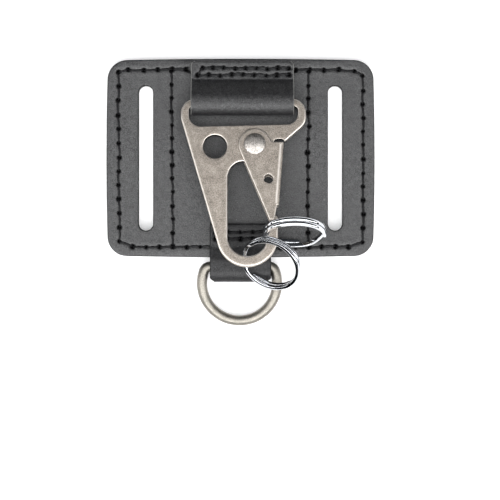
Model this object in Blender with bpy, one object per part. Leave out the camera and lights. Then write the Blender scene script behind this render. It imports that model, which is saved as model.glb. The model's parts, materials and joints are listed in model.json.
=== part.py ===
"""A belt-worn leather key holder, lying on its back.

A two-layer leather panel carries a snap hook in a folded strap and a D-ring in a folded tab,
and two split rings hang on the hook. X runs across the panel, Y up it and Z out of its front.
The origin is the centre of the panel's back face. All sizes are in metres.
"""

import math

import bmesh
import bpy
import numpy
from mathutils import Matrix, Vector
from mathutils.geometry import tessellate_polygon

# Clearances
MESH_GAP = 0.0003
PIVOT_GAP = 0.00025
SHANK_GAP = 0.00015
FLOOR_GAP = 0.00005

# Longest mitre of an offset line, as one over its share of the offset
MITRE_LIMIT = 0.3

# Leather panel
PANEL_WIDTH = 0.0813
PANEL_HEIGHT = 0.0602
PANEL_CORNER = 0.0056
PANEL_BOW = 0.0005
LAYER_THICKNESS = 0.0018
PANEL_EDGE_BEVEL = 0.0003
BELT_SLOT_SPACING = 0.0574
BELT_SLOT_WIDTH = 0.0044
BELT_SLOT_LENGTH = 0.0440

# Sewing thread
THREAD_RADIUS = 0.0004
THREAD_SINK = 0.0002
GROOVE_GAP = 0.0002
SEAM_INSET = 0.0033
SEAM_CORNER = 0.0012
SEAM_TURN = 0.0009
SLOT_SEAM_SPACING = 0.0414
SEAM_END_GAP = 0.0010

# Hook strap
STRAP_WIDTH = 0.0310
STRAP_CENTRE_X = 0.0006
STRAP_THICKNESS = 0.0015
STRAP_END_INSET = 0.0010
STRAP_BAR_DROP = 0.0138
STRAP_ROW_SPACING = 0.0021
STRAP_SEAM_SIDE = 0.0016
STRAP_SEAM_STEP = 0.0018
STRAP_ROLL_END = 58.0
STRAP_FILLET = 0.0022
STRAP_CORNER = 0.0015

# Snap hook
HOOK_THICKNESS = 0.0025
HOOK_BEVEL = 0.0004
HOOK_LEFT = 0.0179
HOOK_RIGHT = 0.0197
HOOK_LENGTH = 0.0498
BAR_WIDTH = 0.0024
STRAP_SLOT_SIDE = 0.0024
STRAP_SLOT_DEPTH = 0.0070
STRAP_SLOT_SLANT = 0.0004
STRAP_SLOT_CORNER = 0.0026
SHOULDER_DROP = 0.0048
BEND_X = 0.0021
BEND_OUTER_RADIUS = 0.0091
BEND_INNER_RADIUS = 0.0059
OPENING_TOP = 0.0180
OPENING_CORNER_WIDTH = 0.0024
OPENING_CORNER_HEIGHT = 0.0032
OPENING_CORNER = 0.0043
NOSE_TOP = 0.0344
NOSE_WIDTH = 0.0020
NOSE_CORNER = 0.0009
NOSE_STRAIGHT = 0.0030
NOTCH_DROP = 0.0111
NOTCH_OUTER_X = 0.0130
RIGHT_SHOULDER_DROP = 0.0062
EYE_X = -0.0076
EYE_DROP = 0.0135
EYE_RADIUS = 0.0036
LEFT_TOP_CORNER = 0.0045
RIGHT_TOP_CORNER = 0.0043
LEFT_SHOULDER_CORNER = 0.0030
RIGHT_SHOULDER_CORNER = 0.0045
SMALL_CORNER = 0.0006
SOFT_CORNER = 0.0018

# Gate, rivet and spring
PIVOT_X = 0.0043
PIVOT_DROP = 0.0130
EAR_RADIUS = 0.0041
LEAF_THICKNESS = 0.0009
GATE_HEAD_RADIUS = 0.00485
GATE_TIP_X = 0.0088
GATE_TIP_DROP = 0.0361
GATE_TIP_WIDTH = 0.0013
GATE_NECK = 0.0006
GATE_STEP = 0.0006
GATE_CORNER = 0.0004
GATE_SPINE_TOP = 0.0123
GATE_SPINE_TOP_X = 0.0130
GATE_SPINE_END = 0.0314
GATE_SPINE_END_X = 0.0115
GATE_HOLE_X = 0.0084
GATE_HOLE_DROP = 0.0235
GATE_HOLE_RADIUS = 0.0014
GATE_BEVEL = 0.00025
RIVET_SHANK_RADIUS = 0.0015
RIVET_HEAD_RADIUS = 0.0033
RIVET_HEAD_HEIGHT = 0.0011
SPRING_DROP = 0.0028
SPRING_RADIUS = 0.0006
SPRING_WIRE_RADIUS = 0.00013
SPRING_COILS = 6
SPRING_COIL_STEPS = 8
SPRING_WIRE_SIDES = 5
SPRING_BORE_DEPTH = 0.0036

# Ring tab
TAB_WIDTH = 0.0185
TAB_THICKNESS = 0.0014
TAB_TAIL_THICKNESS = 0.0008
TAB_LAP = 0.0102
TAB_TAIL_LAP = 0.0086
TAB_FOLD_SLACK = 0.00135
TAB_RISE = 0.0030
TAB_FILLET = 0.0015
TAB_ROW_TOP_INSET = 0.0024
TAB_ROW_SPACING = 0.0020
TAB_SEAM_SIDE = 0.0017

# D-ring
D_WIRE_RADIUS = 0.00155
D_BAR_GAP = 0.00015
D_RING_X = -0.0003
D_ARC_RADIUS = 0.0114
D_ARC_CENTRE_DROP = 0.0051
D_CORNER = 0.0028

# Split rings
RING_WIRE_THICKNESS = 0.00115
RING_WIRE_WIDTH = 0.0011
RING_COIL_GAP = 0.00042
RING_TURN_DEGREES = 650
RING_STEP_START = 300
RING_STEP_END = 350
RING_TAPER_DEGREES = 16
RING_TAPER = 0.45
RING_WIRE_CORNER = 0.3
RING_STEP_DEGREES = 10
LOWER_RING_RADIUS = 0.0092
LOWER_RING_X = 0.0092
LOWER_RING_DROP = 0.0485
LOWER_RING_TILT = 49.5
LOWER_RING_AZIMUTH = 62.4
LOWER_RING_END = 77.0
LOWER_RING_FIRST_COIL = 1
LOWER_RING_HINGE_X = 0.0001
UPPER_RING_RADIUS = 0.0096
UPPER_RING_DROP = 0.0394
UPPER_RING_GAP = 0.0003
UPPER_RING_TILT = 68.5
UPPER_RING_AZIMUTH = 90.0
UPPER_RING_END = -169.0
UPPER_RING_FIRST_COIL = -1
UPPER_RING_HINGE_X = 0.0100

# Heights of the stack, from the back face up
FRONT_BOTTOM = LAYER_THICKNESS + MESH_GAP
PANEL_TOP = FRONT_BOTTOM + LAYER_THICKNESS
LEG_BOTTOM = PANEL_TOP + MESH_GAP
STRAP_TOP = LEG_BOTTOM + 2 * STRAP_THICKNESS + MESH_GAP
GROOVE_RADIUS = THREAD_RADIUS + GROOVE_GAP

# Hook's bar in the roll of its strap
BAR_REACH = math.hypot(BAR_WIDTH / 2, HOOK_THICKNESS / 2)
STRAP_BORE = BAR_REACH + MESH_GAP
BAR_Y = PANEL_HEIGHT / 2 - STRAP_BAR_DROP
BAR_Z = LEG_BOTTOM + STRAP_THICKNESS + STRAP_BORE

# D-ring's bar in the fold of its tab
TAB_BORE = D_WIRE_RADIUS + MESH_GAP
TAB_FOLD_RADIUS = TAB_BORE + TAB_THICKNESS
TAB_TOP = -PANEL_HEIGHT / 2 + TAB_LAP
TAB_TAIL_END = -PANEL_HEIGHT / 2 + TAB_TAIL_LAP
D_BAR_Y = -PANEL_HEIGHT / 2 - D_BAR_GAP - TAB_TAIL_THICKNESS - TAB_BORE
D_BAR_Z = FLOOR_GAP + TAB_FOLD_RADIUS
TAB_TOP_Z = D_BAR_Z + TAB_FOLD_RADIUS
D_REACH = D_ARC_CENTRE_DROP + D_ARC_RADIUS
D_SLOPE = math.asin((D_BAR_Z - D_WIRE_RADIUS - FLOOR_GAP) / D_REACH)

# Split rings' wire
LOWER_WIRE_RADIUS = LOWER_RING_RADIUS - RING_WIRE_THICKNESS / 2
UPPER_WIRE_RADIUS = UPPER_RING_RADIUS - RING_WIRE_THICKNESS / 2
RING_PITCH = RING_WIRE_WIDTH + RING_COIL_GAP
RING_HALF_HEIGHT = (RING_PITCH + RING_WIRE_WIDTH) / 2


def material(name, colour, roughness, metallic=0.0):
    """A Principled material."""
    made = bpy.data.materials.new(name)
    made.use_nodes = True
    shader = made.node_tree.nodes["Principled BSDF"]
    shader.inputs["Base Color"].default_value = (*colour, 1.0)
    shader.inputs["Roughness"].default_value = roughness
    shader.inputs["Metallic"].default_value = metallic
    return made


def add_object(name, mesh, finish=None, parent=None, smooth=None):
    """Link a mesh as an object; smooth is the angle above which edges stay sharp."""
    made = bpy.data.objects.new(name, mesh)
    bpy.context.scene.collection.objects.link(made)
    if finish:
        mesh.materials.append(finish)
    if smooth:
        mesh.shade_smooth()
        mesh.set_sharp_from_angle(angle=math.radians(smooth))
    made.parent = parent
    return made


def add_cutter(target, mesh, parent=None):
    """Cut a mesh out of an object with an exact Boolean."""
    cutter = add_object(f"{target.name}_cutter", mesh, parent=parent)
    cutter.hide_render = True
    cutter.display_type = "WIRE"
    cut = target.modifiers.new("cut", "BOOLEAN")
    cut.operation = "DIFFERENCE"
    cut.solver = "EXACT"
    cut.object = cutter
    return cutter


def add_pivot(name, matrix, parent=None):
    """An empty on a joint's axis, placed in its parent's frame."""
    made = bpy.data.objects.new(name, None)
    bpy.context.scene.collection.objects.link(made)
    made.empty_display_size = 0.005
    made.parent = parent
    made.matrix_basis = matrix
    return made


def mesh_from(vertices, faces):
    """A mesh with its faces turned outwards."""
    work = bmesh.new()
    corners = [work.verts.new(v) for v in vertices]
    for face in faces:
        work.faces.new([corners[i] for i in face])
    bmesh.ops.recalc_face_normals(work, faces=work.faces)
    made = bpy.data.meshes.new("mesh")
    work.to_mesh(made)
    work.free()
    return made


def rounded(corners, closed=True, step=18.0):
    """Points along a line through (x, y, radius) corners, each corner turned by its own arc."""
    points = []
    count = len(corners)
    for i, (x, y, radius) in enumerate(corners):
        here = Vector((x, y))
        if radius == 0 or (not closed and i in (0, count - 1)):
            points.append(here)
            continue
        before = Vector(corners[i - 1][:2]) - here
        after = Vector(corners[(i + 1) % count][:2]) - here
        turn = math.pi - before.angle(after)
        reach = min(radius * math.tan(turn / 2), before.length * 0.98, after.length * 0.98)
        radius = reach / math.tan(turn / 2)
        bisector = (before.normalized() + after.normalized()).normalized()
        centre = here + bisector * math.hypot(reach, radius)
        start = here + before.normalized() * reach - centre
        side = 1 if before.x * after.y - before.y * after.x < 0 else -1
        steps = max(1, round(math.degrees(turn) / step))
        for k in range(steps + 1):
            points.append(centre + Matrix.Rotation(side * turn * k / steps, 2) @ start)
    return points


def circle(x, y, radius, sides=24):
    """Points of a circle, counterclockwise."""
    angles = [2 * math.pi * k / sides for k in range(sides)]
    return [Vector((x + radius * math.cos(a), y + radius * math.sin(a))) for a in angles]


def arc(x, y, radius, start, end, steps):
    """Points of an arc between two angles in degrees."""
    angles = [math.radians(start + (end - start) * k / steps) for k in range(steps + 1)]
    return [Vector((x + radius * math.cos(a), y + radius * math.sin(a))) for a in angles]


def normals_2d(points, closed=True):
    """At each point of a line, the left-hand mitre that shifts it by one unit."""
    made = []
    count = len(points)
    for i, here in enumerate(points):
        before = points[i - 1] if closed or i else None
        after = points[(i + 1) % count] if closed or i < count - 1 else None
        into = (here - before).normalized() if before else (after - here).normalized()
        out = (after - here).normalized() if after else into
        left = Vector((-into.y - out.y, into.x + out.x)).normalized()
        made.append(left / max(MITRE_LIMIT, left.dot(Vector((-into.y, into.x)))))
    return made


def area(points):
    """Signed area of a closed outline."""
    pairs = zip(points, points[1:] + points[:1])
    return sum(a.x * b.y - b.x * a.y for a, b in pairs) / 2


def plate(outline, holes, low, high, bevel):
    """A flat plate with holes, its edges bevelled on both faces."""
    loops = [outline if area(outline) > 0 else outline[::-1]]
    loops += [hole if area(hole) < 0 else hole[::-1] for hole in holes]
    levels = [(low, bevel), (high, bevel)]
    if bevel:
        levels = [(low, bevel), (low + bevel, 0.0), (high - bevel, 0.0), (high, bevel)]
    vertices = []
    faces = []
    caps = []
    for loop in loops:
        count = len(loop)
        inward = normals_2d(loop)
        first = len(vertices)
        for z, inset in levels:
            vertices += [(*(p + n * inset), z) for p, n in zip(loop, inward)]
        for level in range(len(levels) - 1):
            for k in range(count):
                a = first + level * count + k
                b = first + level * count + (k + 1) % count
                faces.append((a, b, b + count, a + count))
        caps.append((first, first + (len(levels) - 1) * count, count))
    flat = [[Vector((*vertices[low_at + k][:2], 0)) for k in range(n)] for low_at, _, n in caps]
    lower = [low_at + k for low_at, _, n in caps for k in range(n)]
    upper = [high_at + k for _, high_at, n in caps for k in range(n)]
    for triangle in tessellate_polygon(flat):
        faces.append([lower[i] for i in triangle])
        faces.append([upper[i] for i in triangle])
    return mesh_from(vertices, faces)


def round_end(end, inward, radius):
    """Points along a strip's rounded end, from the end inwards, and the strip's inset at each."""
    turns = [math.radians(30 * k) for k in range(4)]
    points = [end + inward * radius * (1 - math.cos(turn)) for turn in turns]
    return points, [radius * (1 - math.sin(turn)) for turn in turns]


def ribbon(centres, halves, insets, left, right):
    """A strip whose middle line lies in YZ, with a half thickness and a side inset at each point."""
    vertices = []
    for here, side, half, inset in zip(centres, normals_2d(centres, closed=False), halves, insets):
        over = here + side * half
        under = here - side * half
        for x, pair in ((left + inset, (over, under)), (right - inset, (under, over))):
            vertices += [(x, p.x, p.y) for p in pair]
    return mesh_from(vertices, tube_faces(len(centres), 4, False))


def tube(path, radius, height, closed, sides=6):
    """A round tube along a line in the plane z = height."""
    side = normals_2d(path, closed)
    turns = [2 * math.pi * (k + 0.5) / sides for k in range(sides)]
    vertices = []
    for here, across in zip(path, side):
        for turn in turns:
            flat = here + across * radius * math.cos(turn)
            vertices.append((flat.x, flat.y, height + radius * math.sin(turn)))
    return mesh_from(vertices, tube_faces(len(path), sides, closed))


def tube_faces(rings, sides, closed):
    """Faces of a tube made of rings of vertices."""
    faces = []
    for ring in range(rings if closed else rings - 1):
        for k in range(sides):
            a = ring * sides + k
            b = ring * sides + (k + 1) % sides
            c = (ring + 1) % rings * sides + (k + 1) % sides
            d = (ring + 1) % rings * sides + k
            faces.append((a, b, c, d))
    if not closed:
        faces.append(list(range(sides)))
        faces.append([(rings - 1) * sides + k for k in range(sides)])
    return faces


def least_gap(vertices, sides, apart):
    """The least distance between a wire's surface points that lie at least apart stations away."""
    stations = numpy.array(vertices).reshape(-1, sides, 3)
    least = math.inf
    for k in range(len(stations) - apart):
        far = stations[k + apart:].reshape(-1, 1, 3)
        least = min(least, numpy.linalg.norm(far - stations[k], axis=2).min())
    return least


def turned(profile, sides=24):
    """A solid turned about Z from (radius, z) points that start and end on the axis."""
    vertices = [(0, 0, profile[0][1])]
    for radius, z in profile[1:-1]:
        vertices += [(*p, z) for p in circle(0, 0, radius, sides)]
    vertices.append((0, 0, profile[-1][1]))
    last = len(vertices) - 1
    faces = []
    for k in range(sides):
        after = (k + 1) % sides
        faces.append((0, 1 + k, 1 + after))
        for ring in range(len(profile) - 3):
            a = 1 + ring * sides
            faces.append((a + k, a + after, a + sides + after, a + sides + k))
        faces.append((last, last - sides + k, last - sides + after))
    return mesh_from(vertices, faces)


def bowed_rectangle():
    """The panel's outline: a rounded rectangle whose sides bow out a little."""
    half_x = PANEL_WIDTH / 2 - PANEL_BOW
    half_y = PANEL_HEIGHT / 2 - PANEL_BOW
    square = rounded([(x, y, PANEL_CORNER) for x, y in
                      ((half_x, half_y), (-half_x, half_y), (-half_x, -half_y), (half_x, -half_y))])
    points = []
    for here, after in zip(square, square[1:] + square[:1]):
        cuts = 6 if (after - here).length > 2 * PANEL_CORNER else 1
        points += [here.lerp(after, k / cuts) for k in range(cuts)]
    bowed = []
    for p in points:
        side_x = PANEL_BOW * (1 - (p.y / half_y) ** 2) * p.x / half_x
        side_y = PANEL_BOW * (1 - (p.x / half_x) ** 2) * p.y / half_y
        bowed.append(Vector((p.x + side_x, p.y + side_y)))
    return bowed


def belt_slot(side):
    """One belt slot's outline, with round ends; side is -1 or 1."""
    x = side * BELT_SLOT_SPACING / 2
    half = BELT_SLOT_WIDTH / 2
    straight = BELT_SLOT_LENGTH / 2 - half
    return arc(x, straight, half, 0, 180, 8) + arc(x, -straight, half, 180, 360, 8)


def seam_paths():
    """The stitched lines, as name: (points, what carries the front thread)."""
    side = PANEL_WIDTH / 2 - SEAM_INSET
    top = PANEL_HEIGHT / 2 - SEAM_INSET
    strap_left = STRAP_CENTRE_X - STRAP_WIDTH / 2
    strap_right = STRAP_CENTRE_X + STRAP_WIDTH / 2
    side_gap = THREAD_RADIUS + MESH_GAP
    row_x = SLOT_SEAM_SPACING / 2
    row_y = top - SEAM_END_GAP
    strap_row = top - STRAP_ROW_SPACING
    seam_left = strap_left + STRAP_SEAM_SIDE
    seam_right = strap_right - STRAP_SEAM_SIDE
    tab_row = TAB_TOP - TAB_ROW_TOP_INSET
    tab_side = TAB_WIDTH / 2 - TAB_SEAM_SIDE
    return {
        "border_seam": ([(strap_left - side_gap, top, 0), (-side, top, SEAM_CORNER),
                         (-side, -top, SEAM_CORNER), (side, -top, SEAM_CORNER),
                         (side, top, SEAM_CORNER), (strap_right + side_gap, top, 0)], "panel"),
        "left_slot_seam": ([(-row_x, row_y, 0), (-row_x, -row_y, 0)], "panel"),
        "right_slot_seam": ([(row_x, row_y, 0), (row_x, -row_y, 0)], "panel"),
        "hook_strap_seam": ([(seam_right, top, 0), (seam_left + STRAP_SEAM_STEP, top, SEAM_TURN),
                             (seam_left, strap_row, SEAM_TURN), (seam_right, strap_row, 0)], "strap"),
        "ring_tab_seam": ([(tab_side, tab_row, 0), (-tab_side, tab_row, SEAM_TURN),
                           (-tab_side, tab_row - TAB_ROW_SPACING, SEAM_TURN),
                           (tab_side, tab_row - TAB_ROW_SPACING, 0)], "tab"),
    }


def groove_path(points):
    """A seam's line, a little longer at both open ends so that the thread lies clear in it."""
    ends = [(points[0] - points[1]).normalized(), (points[-1] - points[-2]).normalized()]
    longer = list(points)
    longer[0] = points[0] + ends[0] * GROOVE_GAP
    longer[-1] = points[-1] + ends[1] * GROOVE_GAP
    return longer


def build_seams(finish, front_carriers, back_panel):
    """Lay each seam's front and back thread in a groove of the piece that carries it."""
    back_height = THREAD_RADIUS + THREAD_SINK / 2
    for name, (corners, carrier) in seam_paths().items():
        piece, top = front_carriers[carrier]
        path = rounded(corners, closed=False, step=30)
        groove = groove_path(path)
        places = (("front", top - THREAD_SINK, piece), ("back", back_height, back_panel))
        for side, height, carrier_piece in places:
            thread = tube(path, THREAD_RADIUS, height, False)
            add_object(f"{name}_{side}_thread", thread, finish, smooth=40)
            add_cutter(carrier_piece, tube(groove, GROOVE_RADIUS, height, False))


def build_panels(finish):
    """The two leather layers, and the pocket under the front one that takes the tab's tail."""
    slots = [belt_slot(-1), belt_slot(1)]
    outline = bowed_rectangle()
    back_mesh = plate(outline, slots, 0.0, LAYER_THICKNESS, PANEL_EDGE_BEVEL)
    front_mesh = plate(outline, slots, FRONT_BOTTOM, PANEL_TOP, PANEL_EDGE_BEVEL)
    back = add_object("back_panel", back_mesh, finish)
    front = add_object("front_panel", front_mesh, finish)
    half = TAB_WIDTH / 2 + MESH_GAP
    mouth = -PANEL_HEIGHT / 2 - TAB_BORE
    end = TAB_TAIL_END + MESH_GAP
    pocket = [Vector(p) for p in ((-half, mouth), (half, mouth), (half, end), (-half, end))]
    pocket_top = FRONT_BOTTOM + TAB_TAIL_THICKNESS + MESH_GAP
    add_cutter(front, plate(pocket, [], FRONT_BOTTOM - MESH_GAP / 2, pocket_top, 0.0))
    return front, back


def build_strap(finish):
    """The strap, folded round the hook's bar with both ends on the panel."""
    half = STRAP_THICKNESS / 2
    middle = STRAP_BORE + half
    end_y = PANEL_HEIGHT / 2 - STRAP_END_INSET
    low = LEG_BOTTOM + half
    high = low + STRAP_THICKNESS + MESH_GAP
    roll = arc(BAR_Y, BAR_Z, middle, 270, STRAP_ROLL_END, 14)
    slope = math.radians(STRAP_ROLL_END)
    run = (roll[-1].y - high) * math.tan(slope)
    foot = (roll[-1].x + run, high)
    descent = rounded([(*roll[-1], 0), (*foot, STRAP_FILLET), (end_y, high, 0)], closed=False, step=15)
    inward = Vector((-1, 0))
    lower, lower_insets = round_end(Vector((end_y, low)), inward, STRAP_CORNER)
    upper, upper_insets = round_end(Vector((end_y, high)), inward, STRAP_CORNER)
    between = roll + descent[1:-1]
    centres = lower + between + upper[::-1]
    insets = lower_insets + [0] * len(between) + upper_insets[::-1]
    left = STRAP_CENTRE_X - STRAP_WIDTH / 2
    mesh = ribbon(centres, [half] * len(centres), insets, left, left + STRAP_WIDTH)
    return add_object("hook_strap", mesh, finish)


def build_tab(finish):
    """The tab, folded round the D-ring's bar, with its thin tail between the panel's layers."""
    half = TAB_THICKNESS / 2
    tail_half = TAB_TAIL_THICKNESS / 2
    leg = LEG_BOTTOM + half
    middle = TAB_BORE + half
    fold_y = D_BAR_Y - TAB_FOLD_SLACK
    edge_y = -PANEL_HEIGHT / 2
    tail_z = FRONT_BOTTOM + tail_half
    front = rounded([(TAB_TOP, leg, 0), (edge_y + TAB_RISE, leg, TAB_FILLET),
                     (D_BAR_Y + TAB_BORE, D_BAR_Z + middle, TAB_FILLET),
                     (fold_y, D_BAR_Z + middle, 0)], closed=False, step=15)
    fold = arc(fold_y, D_BAR_Z, middle, 90, 270, 10)
    wrap = arc(D_BAR_Y, D_BAR_Z, TAB_BORE + tail_half, 270, 330, 4)
    tail = [Vector((edge_y - MESH_GAP, tail_z)), Vector((TAB_TAIL_END, tail_z))]
    centres = front + fold[1:] + wrap + tail
    halves = [half] * (len(front) + len(fold) - 1) + [tail_half] * (len(wrap) + len(tail))
    mesh = ribbon(centres, halves, [0] * len(centres), -TAB_WIDTH / 2, TAB_WIDTH / 2)
    return add_object("ring_tab", mesh, finish)


def hook_outline():
    """The hook's outline in its own plane; the bar's axis is at the origin."""
    bend_bottom = -HOOK_LENGTH
    bend_right = BEND_X + BEND_OUTER_RADIUS
    inner_left = BEND_X - BEND_INNER_RADIUS
    inner_right = BEND_X + BEND_INNER_RADIUS
    inner_bottom = bend_bottom + BEND_OUTER_RADIUS - BEND_INNER_RADIUS
    bend_y = bend_bottom + BEND_OUTER_RADIUS
    shoulder = Vector((-HOOK_LEFT, -SHOULDER_DROP))
    reach = Vector((BEND_X, bend_y)) - shoulder
    lean = math.atan2(reach.x, -reach.y) - math.asin(BEND_OUTER_RADIUS / reach.length)
    heel_x = -HOOK_LEFT + (-SHOULDER_DROP - bend_bottom) * math.tan(lean)
    nose_left = bend_right - NOSE_WIDTH
    ear_right = PIVOT_X + EAR_RADIUS
    return rounded([
        (-HOOK_LEFT, BAR_WIDTH / 2, LEFT_TOP_CORNER),
        (*shoulder, LEFT_SHOULDER_CORNER),
        (heel_x, bend_bottom, BEND_OUTER_RADIUS),
        (bend_right, bend_bottom, BEND_OUTER_RADIUS),
        (bend_right, -NOSE_TOP, NOSE_CORNER),
        (nose_left, -NOSE_TOP, NOSE_CORNER),
        (nose_left, -NOSE_TOP - NOSE_STRAIGHT, SOFT_CORNER),
        (inner_right, bend_y, SOFT_CORNER),
        (inner_right, inner_bottom, BEND_INNER_RADIUS),
        (inner_left, inner_bottom, BEND_INNER_RADIUS),
        (inner_left, -OPENING_TOP - OPENING_CORNER_HEIGHT, OPENING_CORNER),
        (inner_left + OPENING_CORNER_WIDTH, -OPENING_TOP, OPENING_CORNER),
        (ear_right, -OPENING_TOP, EAR_RADIUS),
        (ear_right, -NOTCH_DROP, SMALL_CORNER),
        (NOTCH_OUTER_X, -NOTCH_DROP, SMALL_CORNER),
        (HOOK_RIGHT, -RIGHT_SHOULDER_DROP, RIGHT_SHOULDER_CORNER),
        (HOOK_RIGHT, BAR_WIDTH / 2, RIGHT_TOP_CORNER),
    ], step=15)


def build_hook(finish, pivot):
    """The die-cast hook, with its strap slot, eye, rivet hole and the bore for the gate's spring."""
    left = -HOOK_LEFT + STRAP_SLOT_SIDE
    right = HOOK_RIGHT - STRAP_SLOT_SIDE
    top = -BAR_WIDTH / 2
    strap_slot = rounded([(left, top, SMALL_CORNER),
                          (left, -STRAP_SLOT_DEPTH - STRAP_SLOT_SLANT, STRAP_SLOT_CORNER),
                          (right, -STRAP_SLOT_DEPTH + STRAP_SLOT_SLANT, STRAP_SLOT_CORNER),
                          (right, top, SMALL_CORNER)])
    eye = circle(EYE_X, -EYE_DROP, EYE_RADIUS)
    rivet_hole = circle(PIVOT_X, -PIVOT_DROP, RIVET_SHANK_RADIUS + SHANK_GAP, 16)
    half = HOOK_THICKNESS / 2
    mesh = plate(hook_outline(), [strap_slot, eye, rivet_hole], -half, half, HOOK_BEVEL)
    hook = add_object("hook_frame", mesh, finish, pivot, smooth=30)
    bore_radius = SPRING_RADIUS + SPRING_WIRE_RADIUS + SHANK_GAP
    bore_end = 2 * SPRING_BORE_DEPTH
    bore = turned([(0, 0), (bore_radius, 0), (bore_radius, bore_end), (0, bore_end)], 10)
    cutter = add_cutter(hook, bore, pivot)
    cutter.location = (PIVOT_X + EAR_RADIUS - SPRING_BORE_DEPTH, -PIVOT_DROP - SPRING_DROP, 0)
    cutter.rotation_euler = (0, math.pi / 2, 0)
    return hook


def spine_line():
    """The gate's fold edge, from its top to its lower end, in the hook's plane."""
    return Vector((GATE_SPINE_TOP_X, -GATE_SPINE_TOP)), Vector((GATE_SPINE_END_X, -GATE_SPINE_END))


def build_gate(finish, pivot):
    """The sheet-metal gate: two leaves joined by a spine, drawn about its pivot."""
    centre = Vector((PIVOT_X, -PIVOT_DROP))
    tip = Vector((GATE_TIP_X, -GATE_TIP_DROP))
    top, end = (p - centre for p in spine_line())
    reach = tip - centre
    left_edge = math.degrees(math.atan2(reach.y, reach.x) - math.acos(GATE_HEAD_RADIUS / reach.length))
    head = arc(0, 0, GATE_HEAD_RADIUS, 360 + left_edge, 24, 14)
    inward = end - Vector((GATE_STEP, 0))
    lower = rounded([(*head[-1], 0), (GATE_HEAD_RADIUS + GATE_NECK, top.y, GATE_CORNER),
                     (*top, GATE_CORNER), (*end, GATE_CORNER / 2), (*inward, GATE_CORNER / 2),
                     (reach.x + GATE_TIP_WIDTH, reach.y + GATE_TIP_WIDTH / 3, GATE_CORNER),
                     (*reach, GATE_CORNER), (*head[0], 0)], closed=False, step=30)
    half_gap = HOOK_THICKNESS / 2 + PIVOT_GAP
    half = half_gap + LEAF_THICKNESS
    hole = circle(0, 0, RIVET_SHANK_RADIUS + SHANK_GAP, 16)
    hole_at = Vector((GATE_HOLE_X, -GATE_HOLE_DROP)) - centre
    small_hole = circle(*hole_at, GATE_HOLE_RADIUS, 16)
    gate = add_object("gate", plate(head + lower[1:-1], [hole, small_hole], -half, half, GATE_BEVEL),
                      finish, pivot, smooth=30)
    along = (end - top).normalized()
    into = Vector((along.y, -along.x)) * LEAF_THICKNESS
    far = 2 * HOOK_LENGTH
    cavity = [top + into - along * far, end + into, end + Vector((far, 0)),
              end + Vector((far, -far)), end + Vector((-far, -far)), top + Vector((-far, far))]
    add_cutter(gate, plate(cavity, [], -half_gap, half_gap, 0.0), pivot)
    return gate


def build_rivet(finish, parent):
    """The gate's rivet: a shank with a domed head on each face."""
    seat = HOOK_THICKNESS / 2 + 2 * PIVOT_GAP + LEAF_THICKNESS
    dome = [(p.x * RIVET_HEAD_RADIUS, seat + p.y * RIVET_HEAD_HEIGHT) for p in arc(0, 0, 1, 0, 90, 5)]
    front = dome[:-1] + [(0, seat + RIVET_HEAD_HEIGHT)]
    back = [(r, -z) for r, z in reversed(front)]
    shank = [(RIVET_SHANK_RADIUS, -seat), (RIVET_SHANK_RADIUS, seat)]
    rivet = add_object("gate_rivet", turned(back + shank + front), finish, parent, smooth=40)
    rivet.location = (PIVOT_X, -PIVOT_DROP, 0)
    return rivet


def build_spring(finish, parent):
    """The coil spring that pushes the gate's spine away from the hook's ear."""
    start = PIVOT_X + EAR_RADIUS - SPRING_BORE_DEPTH + MESH_GAP + SPRING_WIRE_RADIUS
    top, end = spine_line()
    y = -PIVOT_DROP - SPRING_DROP
    spine_x = top.x + (end.x - top.x) * (y - top.y) / (end.y - top.y) - LEAF_THICKNESS
    finish_x = spine_x - MESH_GAP - SPRING_WIRE_RADIUS
    steps = SPRING_COILS * SPRING_COIL_STEPS
    vertices = []
    for k in range(steps + 1):
        turn = 2 * math.pi * k / SPRING_COIL_STEPS
        out = Vector((0, math.cos(turn), math.sin(turn)))
        centre = Vector((start + (finish_x - start) * k / steps, y, 0)) + out * SPRING_RADIUS
        for p in circle(0, 0, SPRING_WIRE_RADIUS, SPRING_WIRE_SIDES):
            vertices.append(centre + out * p.x + Vector((1, 0, 0)) * p.y)
    gap = least_gap(vertices, SPRING_WIRE_SIDES, SPRING_COIL_STEPS // 2)
    print(f"gate_spring: least gap between its coils {1000 * gap:.2f} mm")
    mesh = mesh_from(vertices, tube_faces(steps + 1, SPRING_WIRE_SIDES, False))
    return add_object("gate_spring", mesh, finish, parent, smooth=60)


def build_d_ring(finish, pivot):
    """The D-ring, drawn about its straight bar."""
    half_chord = math.sqrt(D_ARC_RADIUS ** 2 - D_ARC_CENTRE_DROP ** 2)
    start = math.degrees(math.atan2(D_ARC_CENTRE_DROP, half_chord))
    cut = math.degrees(D_CORNER / D_ARC_RADIUS) / 2
    curve = arc(0, -D_ARC_CENTRE_DROP, D_ARC_RADIUS, 180 - start + cut, 360 + start - cut, 26)
    corners = [(*curve[-1], 0), (half_chord, 0, D_CORNER), (-half_chord, 0, D_CORNER), (*curve[0], 0)]
    path = curve + rounded(corners, closed=False, step=22)[1:-1]
    return add_object("d_ring", tube(path, D_WIRE_RADIUS, 0, True, 12), finish, pivot, smooth=60)


def ring_wire_z(travel):
    """Height of a split ring's wire at its travel in degrees along the coils, from the upper one."""
    share = (travel - RING_STEP_START) / (RING_STEP_END - RING_STEP_START)
    share = min(1.0, max(0.0, share))
    return RING_PITCH * (0.5 - share * share * (3 - 2 * share))


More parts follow.
